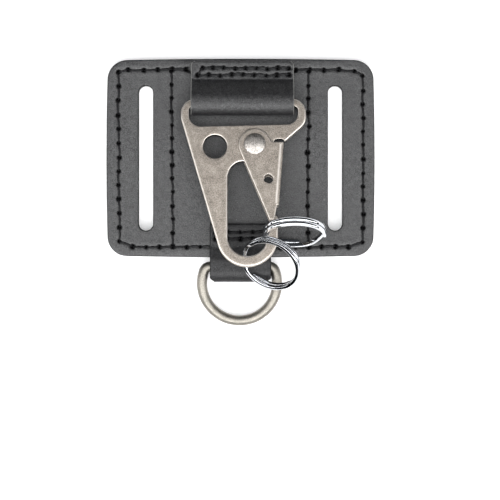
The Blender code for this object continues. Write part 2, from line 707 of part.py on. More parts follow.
def split_ring_mesh(name, radius, end, first_coil):
    """A split ring about Z: one flat wire wound nearly twice from its end's angle, its ends tapered.

    first_coil is 1 where the wire starts on the upper coil and -1 where it starts on the lower one.
    """
    half_t = RING_WIRE_THICKNESS / 2
    half_w = RING_WIRE_WIDTH / 2
    low = 1 - RING_WIRE_CORNER
    section = [(1, low), (low, 1), (-low, 1), (-1, low), (-1, -low), (-low, -1), (low, -1), (1, -low)]
    steps = RING_TURN_DEGREES // RING_STEP_DEGREES
    vertices = []
    for k in range(steps + 1):
        travel = RING_TURN_DEGREES * k / steps
        angle = math.radians(end - travel)
        to_end = min(travel, RING_TURN_DEGREES - travel) / RING_TAPER_DEGREES
        size = RING_TAPER + (1 - RING_TAPER) * min(1.0, to_end)
        z = first_coil * ring_wire_z(travel)
        for across, up in section:
            r = radius + across * half_t * size
            vertices.append((r * math.cos(angle), r * math.sin(angle), z + up * half_w * size))
    gap = least_gap(vertices, len(section), 180 // RING_STEP_DEGREES)
    print(f"{name}: least gap between its coils {1000 * gap:.2f} mm")
    return mesh_from(vertices, tube_faces(steps + 1, len(section), False))


def ring_matrix(x, y, z, tilt, azimuth):
    """A ring's frame: its +X side is lifted by tilt and turned to azimuth, both in radians."""
    turn = Matrix.Rotation(azimuth, 4, "Z") @ Matrix.Rotation(-tilt, 4, "Y")
    return Matrix.Translation((x, y, z)) @ turn


def ring_half_rise(tilt):
    """Half the height that a tilted ring's wire adds to its centre line's."""
    return abs(RING_HALF_HEIGHT * math.cos(tilt)) + abs(RING_WIRE_THICKNESS / 2 * math.sin(tilt))


def lower_ring_matrix():
    """The lower ring in the hook's frame: it passes just under the bend's inner edge."""
    tilt = math.radians(LOWER_RING_TILT)
    azimuth = math.radians(LOWER_RING_AZIMUTH)
    under = Vector((BEND_X, -HOOK_LENGTH + BEND_OUTER_RADIUS - BEND_INNER_RADIUS))
    uphill = Vector((math.cos(azimuth), math.sin(azimuth)))
    rise = (under - Vector((LOWER_RING_X, -LOWER_RING_DROP))).dot(uphill) * math.tan(tilt)
    height = -HOOK_THICKNESS / 2 - MESH_GAP - ring_half_rise(tilt) - rise
    return ring_matrix(LOWER_RING_X, -LOWER_RING_DROP, height, tilt, azimuth)


def ring_low_point(matrix, radius):
    """The lowest height of a ring's wire under a matrix."""
    up = matrix.to_3x3().row[2]
    slope = math.hypot(up[0], up[1])
    return matrix.translation.z - radius * slope - ring_half_rise(math.asin(min(1.0, slope)))


def hook_matrix():
    """The hook's frame: its bar in the strap, its bend lifted until the lower ring clears the tab."""
    bar = Matrix.Translation((0, BAR_Y, BAR_Z))
    ring = lower_ring_matrix()
    low, high = 0.0, math.radians(60)
    for _ in range(40):
        lift = (low + high) / 2
        matrix = bar @ Matrix.Rotation(-lift, 4, "X")
        if ring_low_point(matrix @ ring, LOWER_WIRE_RADIUS) < TAB_TOP_Z + MESH_GAP:
            low = lift
        else:
            high = lift
    return bar @ Matrix.Rotation(-high, 4, "X")


def opening_edge_x(drop):
    """X of the opening's right edge at a drop below the bar: down the nose, then round the bend."""
    below = max(0.0, drop - (HOOK_LENGTH - BEND_OUTER_RADIUS))
    return BEND_X + math.sqrt(BEND_INNER_RADIUS ** 2 - below ** 2)


def upper_ring_matrix(hook):
    """The upper ring in the hook's frame: round the nose, its lower side down on the panel."""
    tilt = math.radians(UPPER_RING_TILT)
    reach = UPPER_WIRE_RADIUS * math.sin(tilt) + ring_half_rise(tilt)
    inner_edge = opening_edge_x(UPPER_RING_DROP + RING_HALF_HEIGHT) - UPPER_RING_GAP
    centre_x = inner_edge - RING_WIRE_THICKNESS + UPPER_RING_RADIUS
    flat = hook @ Vector((centre_x, -UPPER_RING_DROP, 0))
    height = PANEL_TOP + MESH_GAP + reach
    world = ring_matrix(flat.x, flat.y, height, tilt, math.radians(UPPER_RING_AZIMUTH))
    return hook.inverted() @ world


def build_rings(finish, hook_pivot, hook):
    """Both split rings, each under an empty on the axis that it swings about."""
    lower = lower_ring_matrix()
    upper = upper_ring_matrix(hook)
    bend_y = -HOOK_LENGTH + BEND_OUTER_RADIUS
    lower_axis = Matrix.Translation((LOWER_RING_HINGE_X, bend_y, lower.translation.z))
    upper_axis = Matrix.Translation((UPPER_RING_HINGE_X, -UPPER_RING_DROP, 0))
    lower_coils = (LOWER_WIRE_RADIUS, LOWER_RING_END, LOWER_RING_FIRST_COIL)
    upper_coils = (UPPER_WIRE_RADIUS, UPPER_RING_END, UPPER_RING_FIRST_COIL)
    places = (("lower_split_ring", lower_coils, lower, lower_axis),
              ("upper_split_ring", upper_coils, upper, upper_axis))
    for name, coils, place, axis in places:
        pivot = add_pivot(f"{name}_pivot", axis, hook_pivot)
        ring = add_object(name, split_ring_mesh(name, *coils), finish, pivot, smooth=40)
        ring.matrix_basis = axis.inverted() @ place


def main():
    """Build the whole key holder."""
    for old in list(bpy.data.objects):
        bpy.data.objects.remove(old)
    leather = material("black_leather", (0.055, 0.055, 0.058), 0.62)
    dark_leather = material("dark_leather", (0.028, 0.028, 0.030), 0.58)
    thread = material("waxed_thread", (0.012, 0.012, 0.012), 0.5)
    silver = material("antique_silver", (0.50, 0.46, 0.42), 0.38, 1.0)
    steel = material("spring_steel", (0.45, 0.45, 0.46), 0.3, 1.0)
    chrome = material("polished_nickel", (0.72, 0.74, 0.77), 0.08, 1.0)

    front, back = build_panels(leather)
    strap = build_strap(leather)
    tab = build_tab(dark_leather)
    carriers = {"panel": (front, PANEL_TOP), "strap": (strap, STRAP_TOP),
                "tab": (tab, LEG_BOTTOM + TAB_THICKNESS)}
    build_seams(thread, carriers, back)

    hook = hook_matrix()
    hook_pivot = add_pivot("hook_pivot", hook)
    build_hook(silver, hook_pivot)
    gate_pivot = add_pivot("gate_pivot", Matrix.Translation((PIVOT_X, -PIVOT_DROP, 0)), hook_pivot)
    build_gate(silver, gate_pivot)
    build_rivet(silver, hook_pivot)
    build_spring(steel, hook_pivot)
    build_rings(chrome, hook_pivot, hook)

    d_matrix = Matrix.Translation((D_RING_X, D_BAR_Y, D_BAR_Z)) @ Matrix.Rotation(D_SLOPE, 4, "X")
    build_d_ring(silver, add_pivot("d_ring_pivot", d_matrix))


main()
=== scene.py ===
"""A belt-worn leather key holder lying on its back, seen from straight above.

The leather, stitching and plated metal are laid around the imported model. Shapes are written in
millimetres in the model's own frame and turned into metres when their meshes are made.
"""

import json
import math

import bpy
import numpy as np
from mathutils import Matrix, Vector, noise
from mathutils.geometry import delaunay_2d_cdt


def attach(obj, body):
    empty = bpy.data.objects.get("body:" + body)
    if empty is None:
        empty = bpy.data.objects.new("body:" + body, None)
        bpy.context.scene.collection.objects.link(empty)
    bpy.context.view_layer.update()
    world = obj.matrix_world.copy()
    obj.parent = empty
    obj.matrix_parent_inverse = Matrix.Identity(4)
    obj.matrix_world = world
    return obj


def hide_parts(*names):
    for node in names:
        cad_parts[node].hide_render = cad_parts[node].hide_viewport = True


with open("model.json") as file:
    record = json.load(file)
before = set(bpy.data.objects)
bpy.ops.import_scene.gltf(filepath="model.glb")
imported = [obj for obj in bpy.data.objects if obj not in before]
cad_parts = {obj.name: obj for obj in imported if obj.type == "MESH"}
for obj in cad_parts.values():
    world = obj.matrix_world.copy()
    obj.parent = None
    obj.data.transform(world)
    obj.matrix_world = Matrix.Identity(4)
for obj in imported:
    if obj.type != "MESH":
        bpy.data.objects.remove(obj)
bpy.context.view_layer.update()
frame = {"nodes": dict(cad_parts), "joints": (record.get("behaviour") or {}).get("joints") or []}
joints = {joint["name"]: joint for joint in frame["joints"]}

MM = 0.001

# Leather panel
PANEL_WIDTH = 81.3
PANEL_HEIGHT = 60.2
PANEL_CORNER = 5.6
PANEL_BOW = 0.5
BACK_BOTTOM = 0.16
BACK_TOP = 1.95
PANEL_TOP = 3.9
PANEL_ROUND = 0.38
BACK_ROUND = 0.4
LAYER_JOINT_ROUND = 0.12
FRONT_SPACING = 0.95
BACK_SPACING = 1.4
PANEL_KEEP_OUT = PANEL_ROUND + 0.25
SLOT_X = 28.7
SLOT_WIDTH = 4.4
SLOT_LENGTH = 44.0

# Stitching: threads, needle holes, the leather pressed in along them, the shade painted into them, and the
# lanes of dense points
STITCH_INSET = 0.3
STITCH_STEPS = 18
STITCH_SINK = 0.1
STITCH_SLANT = 0.22
STITCH_STRAY = 0.6
BACK_STITCH_Z = 0.35
THREAD_RADIUS = 0.28
THREAD_SIDES = 12
THREAD_PLIES = 3
THREAD_PLY_DEPTH = 0.13
THREAD_TWIST = 1.3
HOLE_RADIUS = 0.56
HOLE_DEPTH = 0.9
HOLE_STRAY = 0.45
PRESS_DEPTH = 0.16
PRESS_WIDTH = 0.38
SWELL_HEIGHT = 0.05
SWELL_AWAY = 1.25
SWELL_WIDTH = 0.55
WAVE_HEIGHT = 0.07
WAVE_SCALE = 0.09
# Painted shade along a stitch line, as a share of the black painted into a needle hole
LINE_PAINTED_SHADE = 0.45
LANES = (-1.6, -1.15, -0.85, -0.6, -0.4, -0.2, 0.0, 0.2, 0.4, 0.6, 0.85, 1.15, 1.6)
LANE_STEP = 0.24

# Hook strap and ring tab
BAND_ROUND = 0.35
STATION_STEP = 0.34
BAND_WAVE = 0.05
STRAP_CUTS = 88
STRAP_LEFT = -14.9
STRAP_RIGHT = 16.1
STRAP_HALF = 0.9
STRAP_LEG = 4.95
STRAP_UPPER_LEG = 6.75
STRAP_MIDDLE = 2.783
STRAP_END_Y = 29.1
STRAP_CORNER = 1.5
STRAP_CREST = 1.9
STRAP_CREST_DIP = 0.05
STRAP_CREST_ROUND = 4.0
STRAP_FOOT = 6.9
STRAP_FOOT_ROUND = 2.4
TAB_CUTS = 52
TAB_HALF_WIDTH = 9.25
TAB_HALF = 0.8
TAB_TAIL_HALF = 0.4
TAB_TOP_Y = -19.9
TAB_TOP_ROUND = 0.6
TAB_LEG = 4.9
TAB_RISE = 3.0
TAB_FILLET = 2.5
TAB_BORE = 1.85
TAB_MIDDLE = 2.55
TAB_FOLD_Y = -34.25
TAB_SQUASH = 0.94
TAB_CUT = 1.1
TAB_CUT_SLOPE = 1.5
TAB_TAIL_Z = 2.45
TAB_TAIL_END = -21.5

# Clearance between pieces that don't bear on each other
GAP = 0.3

# D-ring
D_BAR = Vector((-0.3, -32.9, 3.3))
D_ARC = 11.4
D_ARC_DROP = 5.1
D_WIRE = 1.55
D_CORNER = 2.8

# Snap hook, in its own plane with the bar at the origin
HOOK_HALF = 1.25
HOOK_BEVEL = 0.48
HOOK_LEFT = 17.9
HOOK_RIGHT = 19.7
HOOK_LENGTH = 49.8
HOOK_SPACING = 0.5
SIDE_WALL = 2.4
EYE = Vector((-7.6, -13.5))
EYE_RADIUS = 3.6
BAR_HALF = 1.2
SHOULDER_DROP = 4.8
BEND_X = 2.1
BEND_OUTER = 9.1
BEND_INNER = 5.9
EAR_RADIUS = 4.1
PIVOT = Vector((4.3, -13.0))
PIVOT_BORE = 1.65
HOLE_EDGE = 0.6
NOTCH_EDGE = 0.3
BAY_EDGE = 0.7

# Plating rubbed bright next to edges, and dark a little further in: (share, distance, width)
WEAR = (0.2, 0.0, 0.25)
PATINA = (0.35, 0.9, 0.7)

# Gate and its rivet
LEAF = 0.9
GATE_INSIDE = 1.5
GATE_HEAD = 4.85
GATE_ROUND = 0.26
GATE_SPACING = 0.6
SPINE_TOP = Vector((13.0, -12.3))
SPINE_END = Vector((11.5, -31.4))
SPINE_EDGE = 4.9
GATE_TIP = Vector((8.8, -36.1))
GATE_HOLE = Vector((8.4, -23.5))
GATE_HOLE_RADIUS = 1.4
GATE_HOLE_EDGE = 0.5
FAR = 90
RIVET_SHANK = 1.5
RIVET_HEAD = 3.3
RIVET_WALL = 0.12
RIVET_DOME = 1.0
RIVET_TOP = 0.05

# Split rings
RING_WIRE = (1.2, 1.26)
RING_SHOULDER = 0.22
RING_FLANK = 0.06
RING_PITCH = 1.32
RING_TURN = 650
RING_STEP_START = 300
RING_STEP_TURN = 50
RING_TAPER = 16
LOWER_RING = 9.2
LOWER_RING_AT = Vector((9.2, -48.5))
LOWER_RING_TILT = math.radians(49.5)
LOWER_RING_AZIMUTH = math.radians(62.4)
UPPER_RING = 9.6
UPPER_RING_AT = Vector((16.15, -39.4, 0))
UPPER_RING_TILT = math.radians(68.5)
UPPER_RING_AZIMUTH = math.radians(90)

# Edge scales: an edge above CHAMFER is a chamfer, and the wall of one below DEEP counts as deep
CHAMFER = 2
CHAMFER_DROP = 0.4
DEEP = 0.9

# Rim values of a chamfer's upper and lower part and of a deep wall; plating paints a deep wall near black as
# shade over its dark oxide
CHAMFER_RIMS = (0.4, 0.1)
DEEP_WALL_SHADE_RIM = 1.3

# Height of a honeycomb's rows, as a share of its spacing
ROW_STEP = 0.866


# Lines

def rounded(corners, closed=True, step=5.0):
    """Points along a line through (x, y, radius) corners, each corner turned by its own arc."""
    points = []
    count = len(corners)
    for i, (x, y, radius) in enumerate(corners):
        here = Vector((x, y))
        if radius == 0 or (not closed and i in (0, count - 1)):
            points.append(here)
            continue
        before = Vector(corners[i - 1][:2]) - here
        after = Vector(corners[(i + 1) % count][:2]) - here
        turn = math.pi - before.angle(after)
        reach = min(radius * math.tan(turn / 2), before.length * 0.98, after.length * 0.98)
        radius = reach / math.tan(turn / 2)
        bisector = (before.normalized() + after.normalized()).normalized()
        centre = here + bisector * math.hypot(reach, radius)
        start = here + before.normalized() * reach - centre
        side = 1 if before.x * after.y - before.y * after.x < 0 else -1
        steps = max(1, round(math.degrees(turn) / step))
        points += [centre + Matrix.Rotation(side * turn * k / steps, 2) @ start
                   for k in range(steps + 1)]
    return points


def arc(x, y, radius, start, end, steps):
    """Points of an arc between two angles in degrees."""
    turns = [math.radians(start + (end - start) * k / steps) for k in range(steps + 1)]
    return [Vector((x + radius * math.cos(a), y + radius * math.sin(a))) for a in turns]


def circle(x, y, radius, sides):
    """Points of a circle, counterclockwise."""
    return arc(x, y, radius, 0, 360, sides)[:-1]


def spread(points, spacing, closed=True):
    """The same line with points at an even spacing along it."""
    line = np.array([tuple(p) for p in points + (points[:1] if closed else [])])
    lengths = np.concatenate([[0], np.cumsum(np.linalg.norm(np.diff(line, axis=0), axis=1))])
    count = max(3, round(lengths[-1] / spacing))
    at = np.linspace(0, lengths[-1], count + 1)
    if closed:
        at = at[:-1]
    columns = [np.interp(at, lengths, line[:, k]) for k in range(line.shape[1])]
    return [Vector(p) for p in zip(*columns)]


def mitres(points, closed=True):
    """At each point of a line, the left-hand offset that shifts it by one unit."""
    made = []
    count = len(points)
    for i, here in enumerate(points):
        before = points[i - 1] if closed or i else None
        after = points[(i + 1) % count] if closed or i < count - 1 else None
        into = (here - before).normalized() if before else (after - here).normalized()
        out = (after - here).normalized() if after else into
        left = Vector((-into.y - out.y, into.x + out.x)).normalized()
        made.append(left / max(0.4, left.dot(Vector((-into.y, into.x)))))
    return made


def area(points):
    """Signed area of a closed outline."""
    return sum(a.x * b.y - b.x * a.y for a, b in zip(points, points[1:] + points[:1])) / 2


def to_segments(points, starts, ends):
    """Each point's distance to the nearest of some line segments."""
    points = np.asarray(points)[:, None]
    starts = np.asarray(starts)[None]
    along = np.asarray(ends)[None] - starts
    share = ((points - starts) * along).sum(2) / (along ** 2).sum(2)
    near = starts + np.clip(share, 0, 1)[..., None] * along
    return np.linalg.norm(points - near, axis=2).min(1)


def inside(points, outline):
    """Which points lie inside a closed outline."""
    within = np.zeros(len(points), bool)
    x, y = points[:, 0], points[:, 1]
    for a, b in zip(outline, outline[1:] + outline[:1]):
        if a.y != b.y:
            crosses = (a.y > y) != (b.y > y)
            within ^= crosses & (x < a.x + (b.x - a.x) * (y - a.y) / (b.y - a.y))
    return within


def honeycomb(corner, columns, rows, spacing):
    """Points of a honeycomb that is laid out from a corner."""
    return np.array([(corner[0] + (i + 0.5 * (j % 2)) * spacing, corner[1] + j * spacing * ROW_STEP)
                     for j in rows for i in columns])


def within(points, loops, keep_out):
    """The points inside an outline, out of its holes and clear of every edge."""
    (outline, _), *holes = loops
    points = points[inside(points, outline)]
    for hole, _ in holes:
        points = points[~inside(points, hole)]
    for loop, _ in loops:
        line = np.array([tuple(p) for p in loop])
        points = points[to_segments(points, line, np.roll(line, -1, axis=0)) > keep_out]
    return [Vector(p) for p in points]


def inner_points(loops, spacing, keep_out):
    """Points of a honeycomb inside an outline with holes, clear of its edges."""
    outline = np.array([tuple(p) for p in loops[0][0]])
    low, high = outline.min(0), outline.max(0)
    columns = int((high[0] - low[0]) / spacing) + 1
    rows = int((high[1] - low[1]) / spacing / ROW_STEP) + 1
    return within(honeycomb(low, range(columns), range(rows), spacing), loops, keep_out)


# Meshes

def make(name, vertices, faces, finish, rim=None, smooth=50):
    """An object in metres from millimetre vertices; rim is a value per vertex for its material."""
    used = sorted({i for face in faces for i in face})
    index = {old: new for new, old in enumerate(used)}
    mesh = bpy.data.meshes.new(name)
    mesh.from_pydata([tuple(c * MM for c in vertices[i]) for i in used], [],
                     [[index[i] for i in face] for face in faces])
    mesh.validate()
    if rim is not None:
        values = mesh.attributes.new("rim", "FLOAT", "POINT")
        values.data.foreach_set("value", np.asarray([rim[i] for i in used], np.float32))
    mesh.shade_smooth()
    mesh.set_sharp_from_angle(angle=math.radians(smooth))
    mesh.materials.append(finish)
    made = bpy.data.objects.new(name, mesh)
    bpy.context.scene.collection.objects.link(made)
    return made


def dress(piece, body, slot, *nodes):
    """Put a piece on its body in place of the solids that it stands for."""
    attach(piece, body)
    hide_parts(*nodes)


def place(vertices, matrix):
    """Vertices moved by a matrix."""
    return [matrix @ Vector(v) for v in vertices]


def fill(loops, inner=()):
    """Triangles that fill an outline with holes, through inner points; returns points and faces."""
    points = [p for loop in loops for p in loop] + list(inner)
    edges = []
    first = 0
    for loop in loops:
        edges += [(first + k, first + (k + 1) % len(loop)) for k in range(len(loop))]
        first += len(loop)
    flat, _, faces, sources, _, _ = delaunay_2d_cdt(points, edges, [], 1, 1e-6)
    origin = [min(s) if s else -1 for s in sources]
    middles = np.array([tuple(sum((flat[i] for i in face), Vector((0, 0))) / 3) for face in faces])
    solid = np.ones(len(faces), bool)
    for hole in loops[1:]:
        solid &= ~inside(middles, hole)
    return flat, [face for face, keep in zip(faces, solid) if keep], origin, first


def slab(loops, low, high, round_low, round_high, inner=(), relief_low=None, relief_high=None, steps=4):
    """A flat body with holes and rounded edges: vertices, faces, and where each vertex lies.

    That is 0 on its faces, 1 on its walls and between them round its edges. Deep walls have more, which
    plating's material paints near black as shade.
    """
    turns = [math.pi / 2 * k / steps for k in range(steps + 1)]
    levels = [(low, 1, round_low, t) for t in turns] + [(high, -1, round_high, t) for t in turns[::-1]]
    vertices, faces, rim = [], [], []
    lower, upper = [], []
    for loop, scale in loops:
        inward = mitres(loop)
        count = len(loop)
        first = len(vertices)
        for height, side, size, turn in levels:
            for p, n, s in zip(loop, inward, scale):
                at = p + n * size * s * (1 - math.sin(turn))
                drop = size * (s if s < CHAMFER else CHAMFER_DROP * s) * (1 - math.cos(turn))
                vertices.append(Vector((at.x, at.y, height + side * drop)))
                if s > CHAMFER:
                    rim.append(CHAMFER_RIMS[0 if 0 < turn < 0.5 else 1])
                else:
                    rim.append(DEEP_WALL_SHADE_RIM if s < DEEP and turn == turns[-1] else math.sin(turn))
        for level in range(len(levels) - 1):
            for k in range(count):
                a = first + level * count + k
                b = first + level * count + (k + 1) % count
                faces.append((a, b, b + count, a + count))
        lower.append(range(first, first + count))
        upper.append(range(first + (len(levels) - 1) * count, first + len(levels) * count))
    for side, rings, height, relief in ((-1, lower, low, relief_low), (1, upper, high, relief_high)):
        flat, caps, origin, boundary = fill([[vertices[i].to_2d() for i in ring] for ring in rings], inner)
        ring = [i for part in rings for i in part]
        index = []
        for p, source in zip(flat, origin):
            if 0 <= source < boundary:
                index.append(ring[source])
                continue
            index.append(len(vertices))
            vertices.append(Vector((p.x, p.y, height)))
            rim.append(0.0)
        for face in caps:
            turned = face if side > 0 else face[::-1]
            faces.append([index[i] for i in turned])
        if relief:
            # The relief's tint goes into rim: rubbed and dark plating on metal, painted shade in needle
            # holes and stitch lines on leather
            for i, amount, tint in zip(index, *relief(flat)):
                vertices[i] = vertices[i] + Vector((0, 0, side * amount))
                rim[i] = rim[i] or tint
    return vertices, faces, rim


def oriented(outline, holes, scales=None, hole_scale=1.0):
    """Loops for slab: the outline counterclockwise, its holes clockwise, each with edge scales."""
    rings = [(outline, scales or [1.0] * len(outline), 1)]
    rings += [(hole, [hole_scale] * len(hole), -1) for hole in holes]
    return [(loop[::-1], sizes[::-1]) if area(loop) * side < 0 else (loop, sizes)
            for loop, sizes, side in rings]


def sweep(sections, closed=False):
    """A body through rings of points that all have the same count."""
    count = len(sections[0])
    rings = len(sections)
    vertices = [v for ring in sections for v in ring]
    faces = []
    for ring in range(rings if closed else rings - 1):
        after = (ring + 1) % rings
        for k in range(count):
            nxt = (k + 1) % count
            faces.append((ring * count + k, ring * count + nxt, after * count + nxt, after * count + k))
    if not closed:
        faces.append(list(range(count))[::-1])
        faces.append([(rings - 1) * count + k for k in range(count)])
    return vertices, faces


# Materials

def add(tree, kind, inputs=None, **settings):
    """A shader node with its settings; each input is a value or another node's output."""
    made = tree.nodes.new(kind)
    for key, value in settings.items():
        setattr(made, key, value)
    for key, value in (inputs or {}).items():
        if isinstance(value, bpy.types.NodeSocket):
            tree.links.new(value, made.inputs[key])
        else:
            made.inputs[key].default_value = value
    return made


def principled(name):
    """A new material, its tree, its shader and a position in millimetres."""
    made = bpy.data.materials.new(name)
    made.use_nodes = True
    tree = made.node_tree
    where = add(tree, "ShaderNodeTexCoord").outputs["Object"]
    scaled = add(tree, "ShaderNodeVectorMath", {0: where, 1: (1 / MM,) * 3}, operation="MULTIPLY")
    return made, tree, tree.nodes["Principled BSDF"], scaled.outputs[0]


def speckle(tree, where, scale, detail=3.0, roughness=0.5, distortion=0.0):
    """A noise value over a position."""
    inputs = {"Vector": where, "Scale": scale, "Detail": detail, "Roughness": roughness,
              "Distortion": distortion}
    return add(tree, "ShaderNodeTexNoise", inputs).outputs[0]


def ramp(tree, value, low, high, start=0.0, end=1.0):
    """A value mapped from one range to another."""
    inputs = {"Value": value, 1: low, 2: high, 3: start, 4: end}
    return add(tree, "ShaderNodeMapRange", inputs).outputs[0]


def mix(tree, share, first, second):
    """A colour between two colours."""
    inputs = {"Factor": share, 6: first, 7: second}
    return add(tree, "ShaderNodeMix", inputs, data_type="RGBA").outputs[2]


def combine(tree, operation, first, second):
    """Two values joined by arithmetic."""
    return add(tree, "ShaderNodeMath", {0: first, 1: second}, operation=operation).outputs[0]


def bumped(tree, shader, height, distance, strength):
    """A bump from a height value onto a shader."""
    inputs = {"Height": height, "Distance": distance, "Strength": strength}
    tree.links.new(add(tree, "ShaderNodeBump", inputs).outputs[0], shader.inputs["Normal"])


def leather(name, dark, light, gloss, edge, edge_gloss):
    """Black finished leather: fine grain, scuffs, its own edge finish, and shade painted black into its
    needle holes and along its stitch lines.
    """
    made, tree, shader, where = principled(name)
    cloud = speckle(tree, where, 0.1, 3.0)
    patchy = speckle(tree, where, 0.9, 4.0, 0.6)
    fine = speckle(tree, where, 4.4, 3.0, 0.6)
    rim = add(tree, "ShaderNodeAttribute", attribute_name="rim").outputs["Fac"]
    # Negative rim values are painted shade: black in needle holes, darker along stitch lines, with little
    # sheen there
    pit = ramp(tree, rim, -0.2, -0.85)
    body = combine(tree, "ADD", ramp(tree, cloud, 0.3, 0.7, 0.0, 0.4),
                   ramp(tree, patchy, 0.35, 0.65, 0.0, 0.6))
    colour = mix(tree, body, (*dark, 1), (*light, 1))
    flecks = ramp(tree, speckle(tree, where, 2.1, 2.0, 0.4, 0.4), 0.68, 0.76)
    colour = mix(tree, combine(tree, "MULTIPLY", flecks, 0.4), colour, (0.16, 0.16, 0.165, 1))
    trim = combine(tree, "MULTIPLY", ramp(tree, rim, 0.3, 0.7), ramp(tree, patchy, 0.35, 0.6, 0.6, 1.0))
    colour = mix(tree, trim, colour, (*edge, 1))
    # Painted shade in needle holes and along stitch lines
    colour = mix(tree, pit, colour, (0.002, 0.002, 0.002, 1))
    tree.links.new(colour, shader.inputs["Base Color"])
    rough = combine(tree, "ADD", ramp(tree, fine, 0.3, 0.7, 0.45, 0.57),
                    ramp(tree, patchy, 0.3, 0.7, -0.06, 0.06))
    tree.links.new(rough, shader.inputs["Roughness"])
    uneven = combine(tree, "ADD", ramp(tree, patchy, 0.36, 0.64, 0.36, 0.64),
                     ramp(tree, fine, 0.36, 0.64, 0.0, 1.0))
    sheen = combine(tree, "MULTIPLY", ramp(tree, pit, 0.0, 1.0, gloss, 0.04), uneven)
    sheen = combine(tree, "MULTIPLY", sheen, ramp(tree, rim, 0.3, 0.7, 1.0, edge_gloss))
    tree.links.new(sheen, shader.inputs["Specular IOR Level"])
    cells = add(tree, "ShaderNodeTexVoronoi", {"Vector": where, "Scale": 2.2}, feature="SMOOTH_F1")
    grain = combine(tree, "ADD", ramp(tree, cells.outputs["Distance"], 0.0, 0.6), fine)
    grain = combine(tree, "ADD", grain, patchy)
    bumped(tree, shader, grain, 0.06 * MM, 0.6)
    return made


def waxed_thread(name):
    """Black waxed thread with fine fibres."""
    made, tree, shader, where = principled(name)
    fibres = speckle(tree, where, 9.0, 3.0, 0.6)
    colour = mix(tree, ramp(tree, fibres, 0.4, 0.75), (0.003, 0.003, 0.0035, 1), (0.02, 0.02, 0.021, 1))
    tree.links.new(colour, shader.inputs["Base Color"])
    tree.links.new(ramp(tree, fibres, 0.3, 0.7, 0.38, 0.6), shader.inputs["Roughness"])
    shader.inputs["Specular IOR Level"].default_value = 0.15
    bumped(tree, shader, fibres, 0.03 * MM, 0.5)
    return made


def antique_silver(name, dark, light, bright, roughness=0.42, blotches=0.35):
    """Antique plating: mottled, darker towards its edges, rubbed bright along them, and painted near black
    as shade on deep walls.
    """
    made, tree, shader, where = principled(name)
    cloud = speckle(tree, where, blotches, 4.0, 0.6)
    fine = speckle(tree, where, 2.4, 5.0, 0.7)
    rim = add(tree, "ShaderNodeAttribute", attribute_name="rim").outputs["Fac"]
    grit = speckle(tree, where, 3.6, 2.0, 0.6)
    body = combine(tree, "ADD", ramp(tree, cloud, 0.35, 0.65, 0.0, 0.3),
                   ramp(tree, fine, 0.3, 0.7, 0.0, 0.35))
    body = combine(tree, "ADD", body, ramp(tree, grit, 0.38, 0.62, -0.1, 0.5))
    colour = mix(tree, body, (*dark, 1), (*light, 1))
    patina = combine(tree, "MULTIPLY", ramp(tree, rim, -0.1, -0.9), ramp(tree, cloud, 0.4, 0.6, 0.2, 0.8))
    colour = mix(tree, patina, colour, tuple(c * 0.6 for c in dark) + (1,))
    rubbed = combine(tree, "MULTIPLY", ramp(tree, rim, 0.05, 0.35), ramp(tree, rim, 1.0, 0.9))
    rubbed = combine(tree, "MULTIPLY", rubbed, ramp(tree, cloud, 0.3, 0.5, 0.75, 1.0))
    colour = mix(tree, rubbed, colour, (*bright, 1))
    # Painted shade: deep walls of holes and notches turn near black, over the plating's dark oxide
    colour = mix(tree, ramp(tree, rim, 1.0, 1.15), colour, tuple(c * 0.25 for c in dark) + (1,))
    tree.links.new(colour, shader.inputs["Base Color"])
    shader.inputs["Metallic"].default_value = 1.0
    rough = ramp(tree, fine, 0.3, 0.7, roughness - 0.07, roughness + 0.1)
    tree.links.new(rough, shader.inputs["Roughness"])
    pits = combine(tree, "ADD", fine, ramp(tree, speckle(tree, where, 1.1, 2.0), 0.3, 0.7))
    bumped(tree, shader, pits, 0.025 * MM, 0.5)
    return made


def polished(name, colour, roughness):
    """Polished plating with faint wipe marks."""
    made, tree, shader, where = principled(name)
    marks = speckle(tree, where, 1.4, 4.0, 0.6, 0.8)
    tint = mix(tree, ramp(tree, marks, 0.4, 0.7), (*colour, 1), tuple(c * 0.86 for c in colour) + (1,))
    tree.links.new(tint, shader.inputs["Base Color"])
    shader.inputs["Metallic"].default_value = 1.0
    tree.links.new(ramp(tree, marks, 0.3, 0.8, roughness, roughness * 2.2), shader.inputs["Roughness"])
    bumped(tree, shader, marks, 0.002 * MM, 0.1)
    return made


# Seams: their corners, and the pitch of their needle holes

SEAMS = {
    "border_seam": ([(-16.2, 27.0), (-33.9, 26.9), (-37.1, 26.0), (-36.7, -25.3), (-32.6, -26.8),
                     (0.0, -27.4), (32.9, -26.8), (37.1, -25.3), (37.2, 24.9), (34.2, 26.5), (16.6, 26.9)],
                    4.2),
    "left_slot_seam": ([(-21.1, 26.4), (-20.4, -26.6)], 4.2),
    "right_slot_seam": ([(20.6, 26.2), (20.4, -26.6)], 4.2),
    "hook_strap_seam": ([(14.5, 27.0), (-11.3, 27.0), (-12.8, 24.9), (14.5, 24.9)], 3.4),
    "ring_tab_seam": ([(7.5, -22.3), (-7.5, -22.3), (-7.5, -24.3), (7.5, -24.3)], 3.4),
}
PANEL_SEAMS = ("border_seam", "left_slot_seam", "right_slot_seam")


def seam_holes(name):
    """The needle holes along a hand-sewn seam, with one near each of its corners."""
    corners, pitch = SEAMS[name]
    holes = [Vector(corners[0])]
    for start, end in zip(corners, corners[1:]):
        start, end = Vector(start), Vector(end)
        count = max(1, round((end - start).length / pitch))
        holes += [start.lerp(end, k / count) for k in range(1, count + 1)]
    strays = [[noise.noise(Vector((p.x * 0.7, p.y * 0.7, level))) for level in (3.3, 7.7)] for p in holes]
    return [p + Vector(stray) * HOLE_STRAY for p, stray in zip(holes, strays)]


def seam_ends(names):
    """Where the stitches of some seams start and end."""
    lines = [seam_holes(name) for name in names]
    return [p for line in lines for p in line[:-1]], [p for line in lines for p in line[1:]]


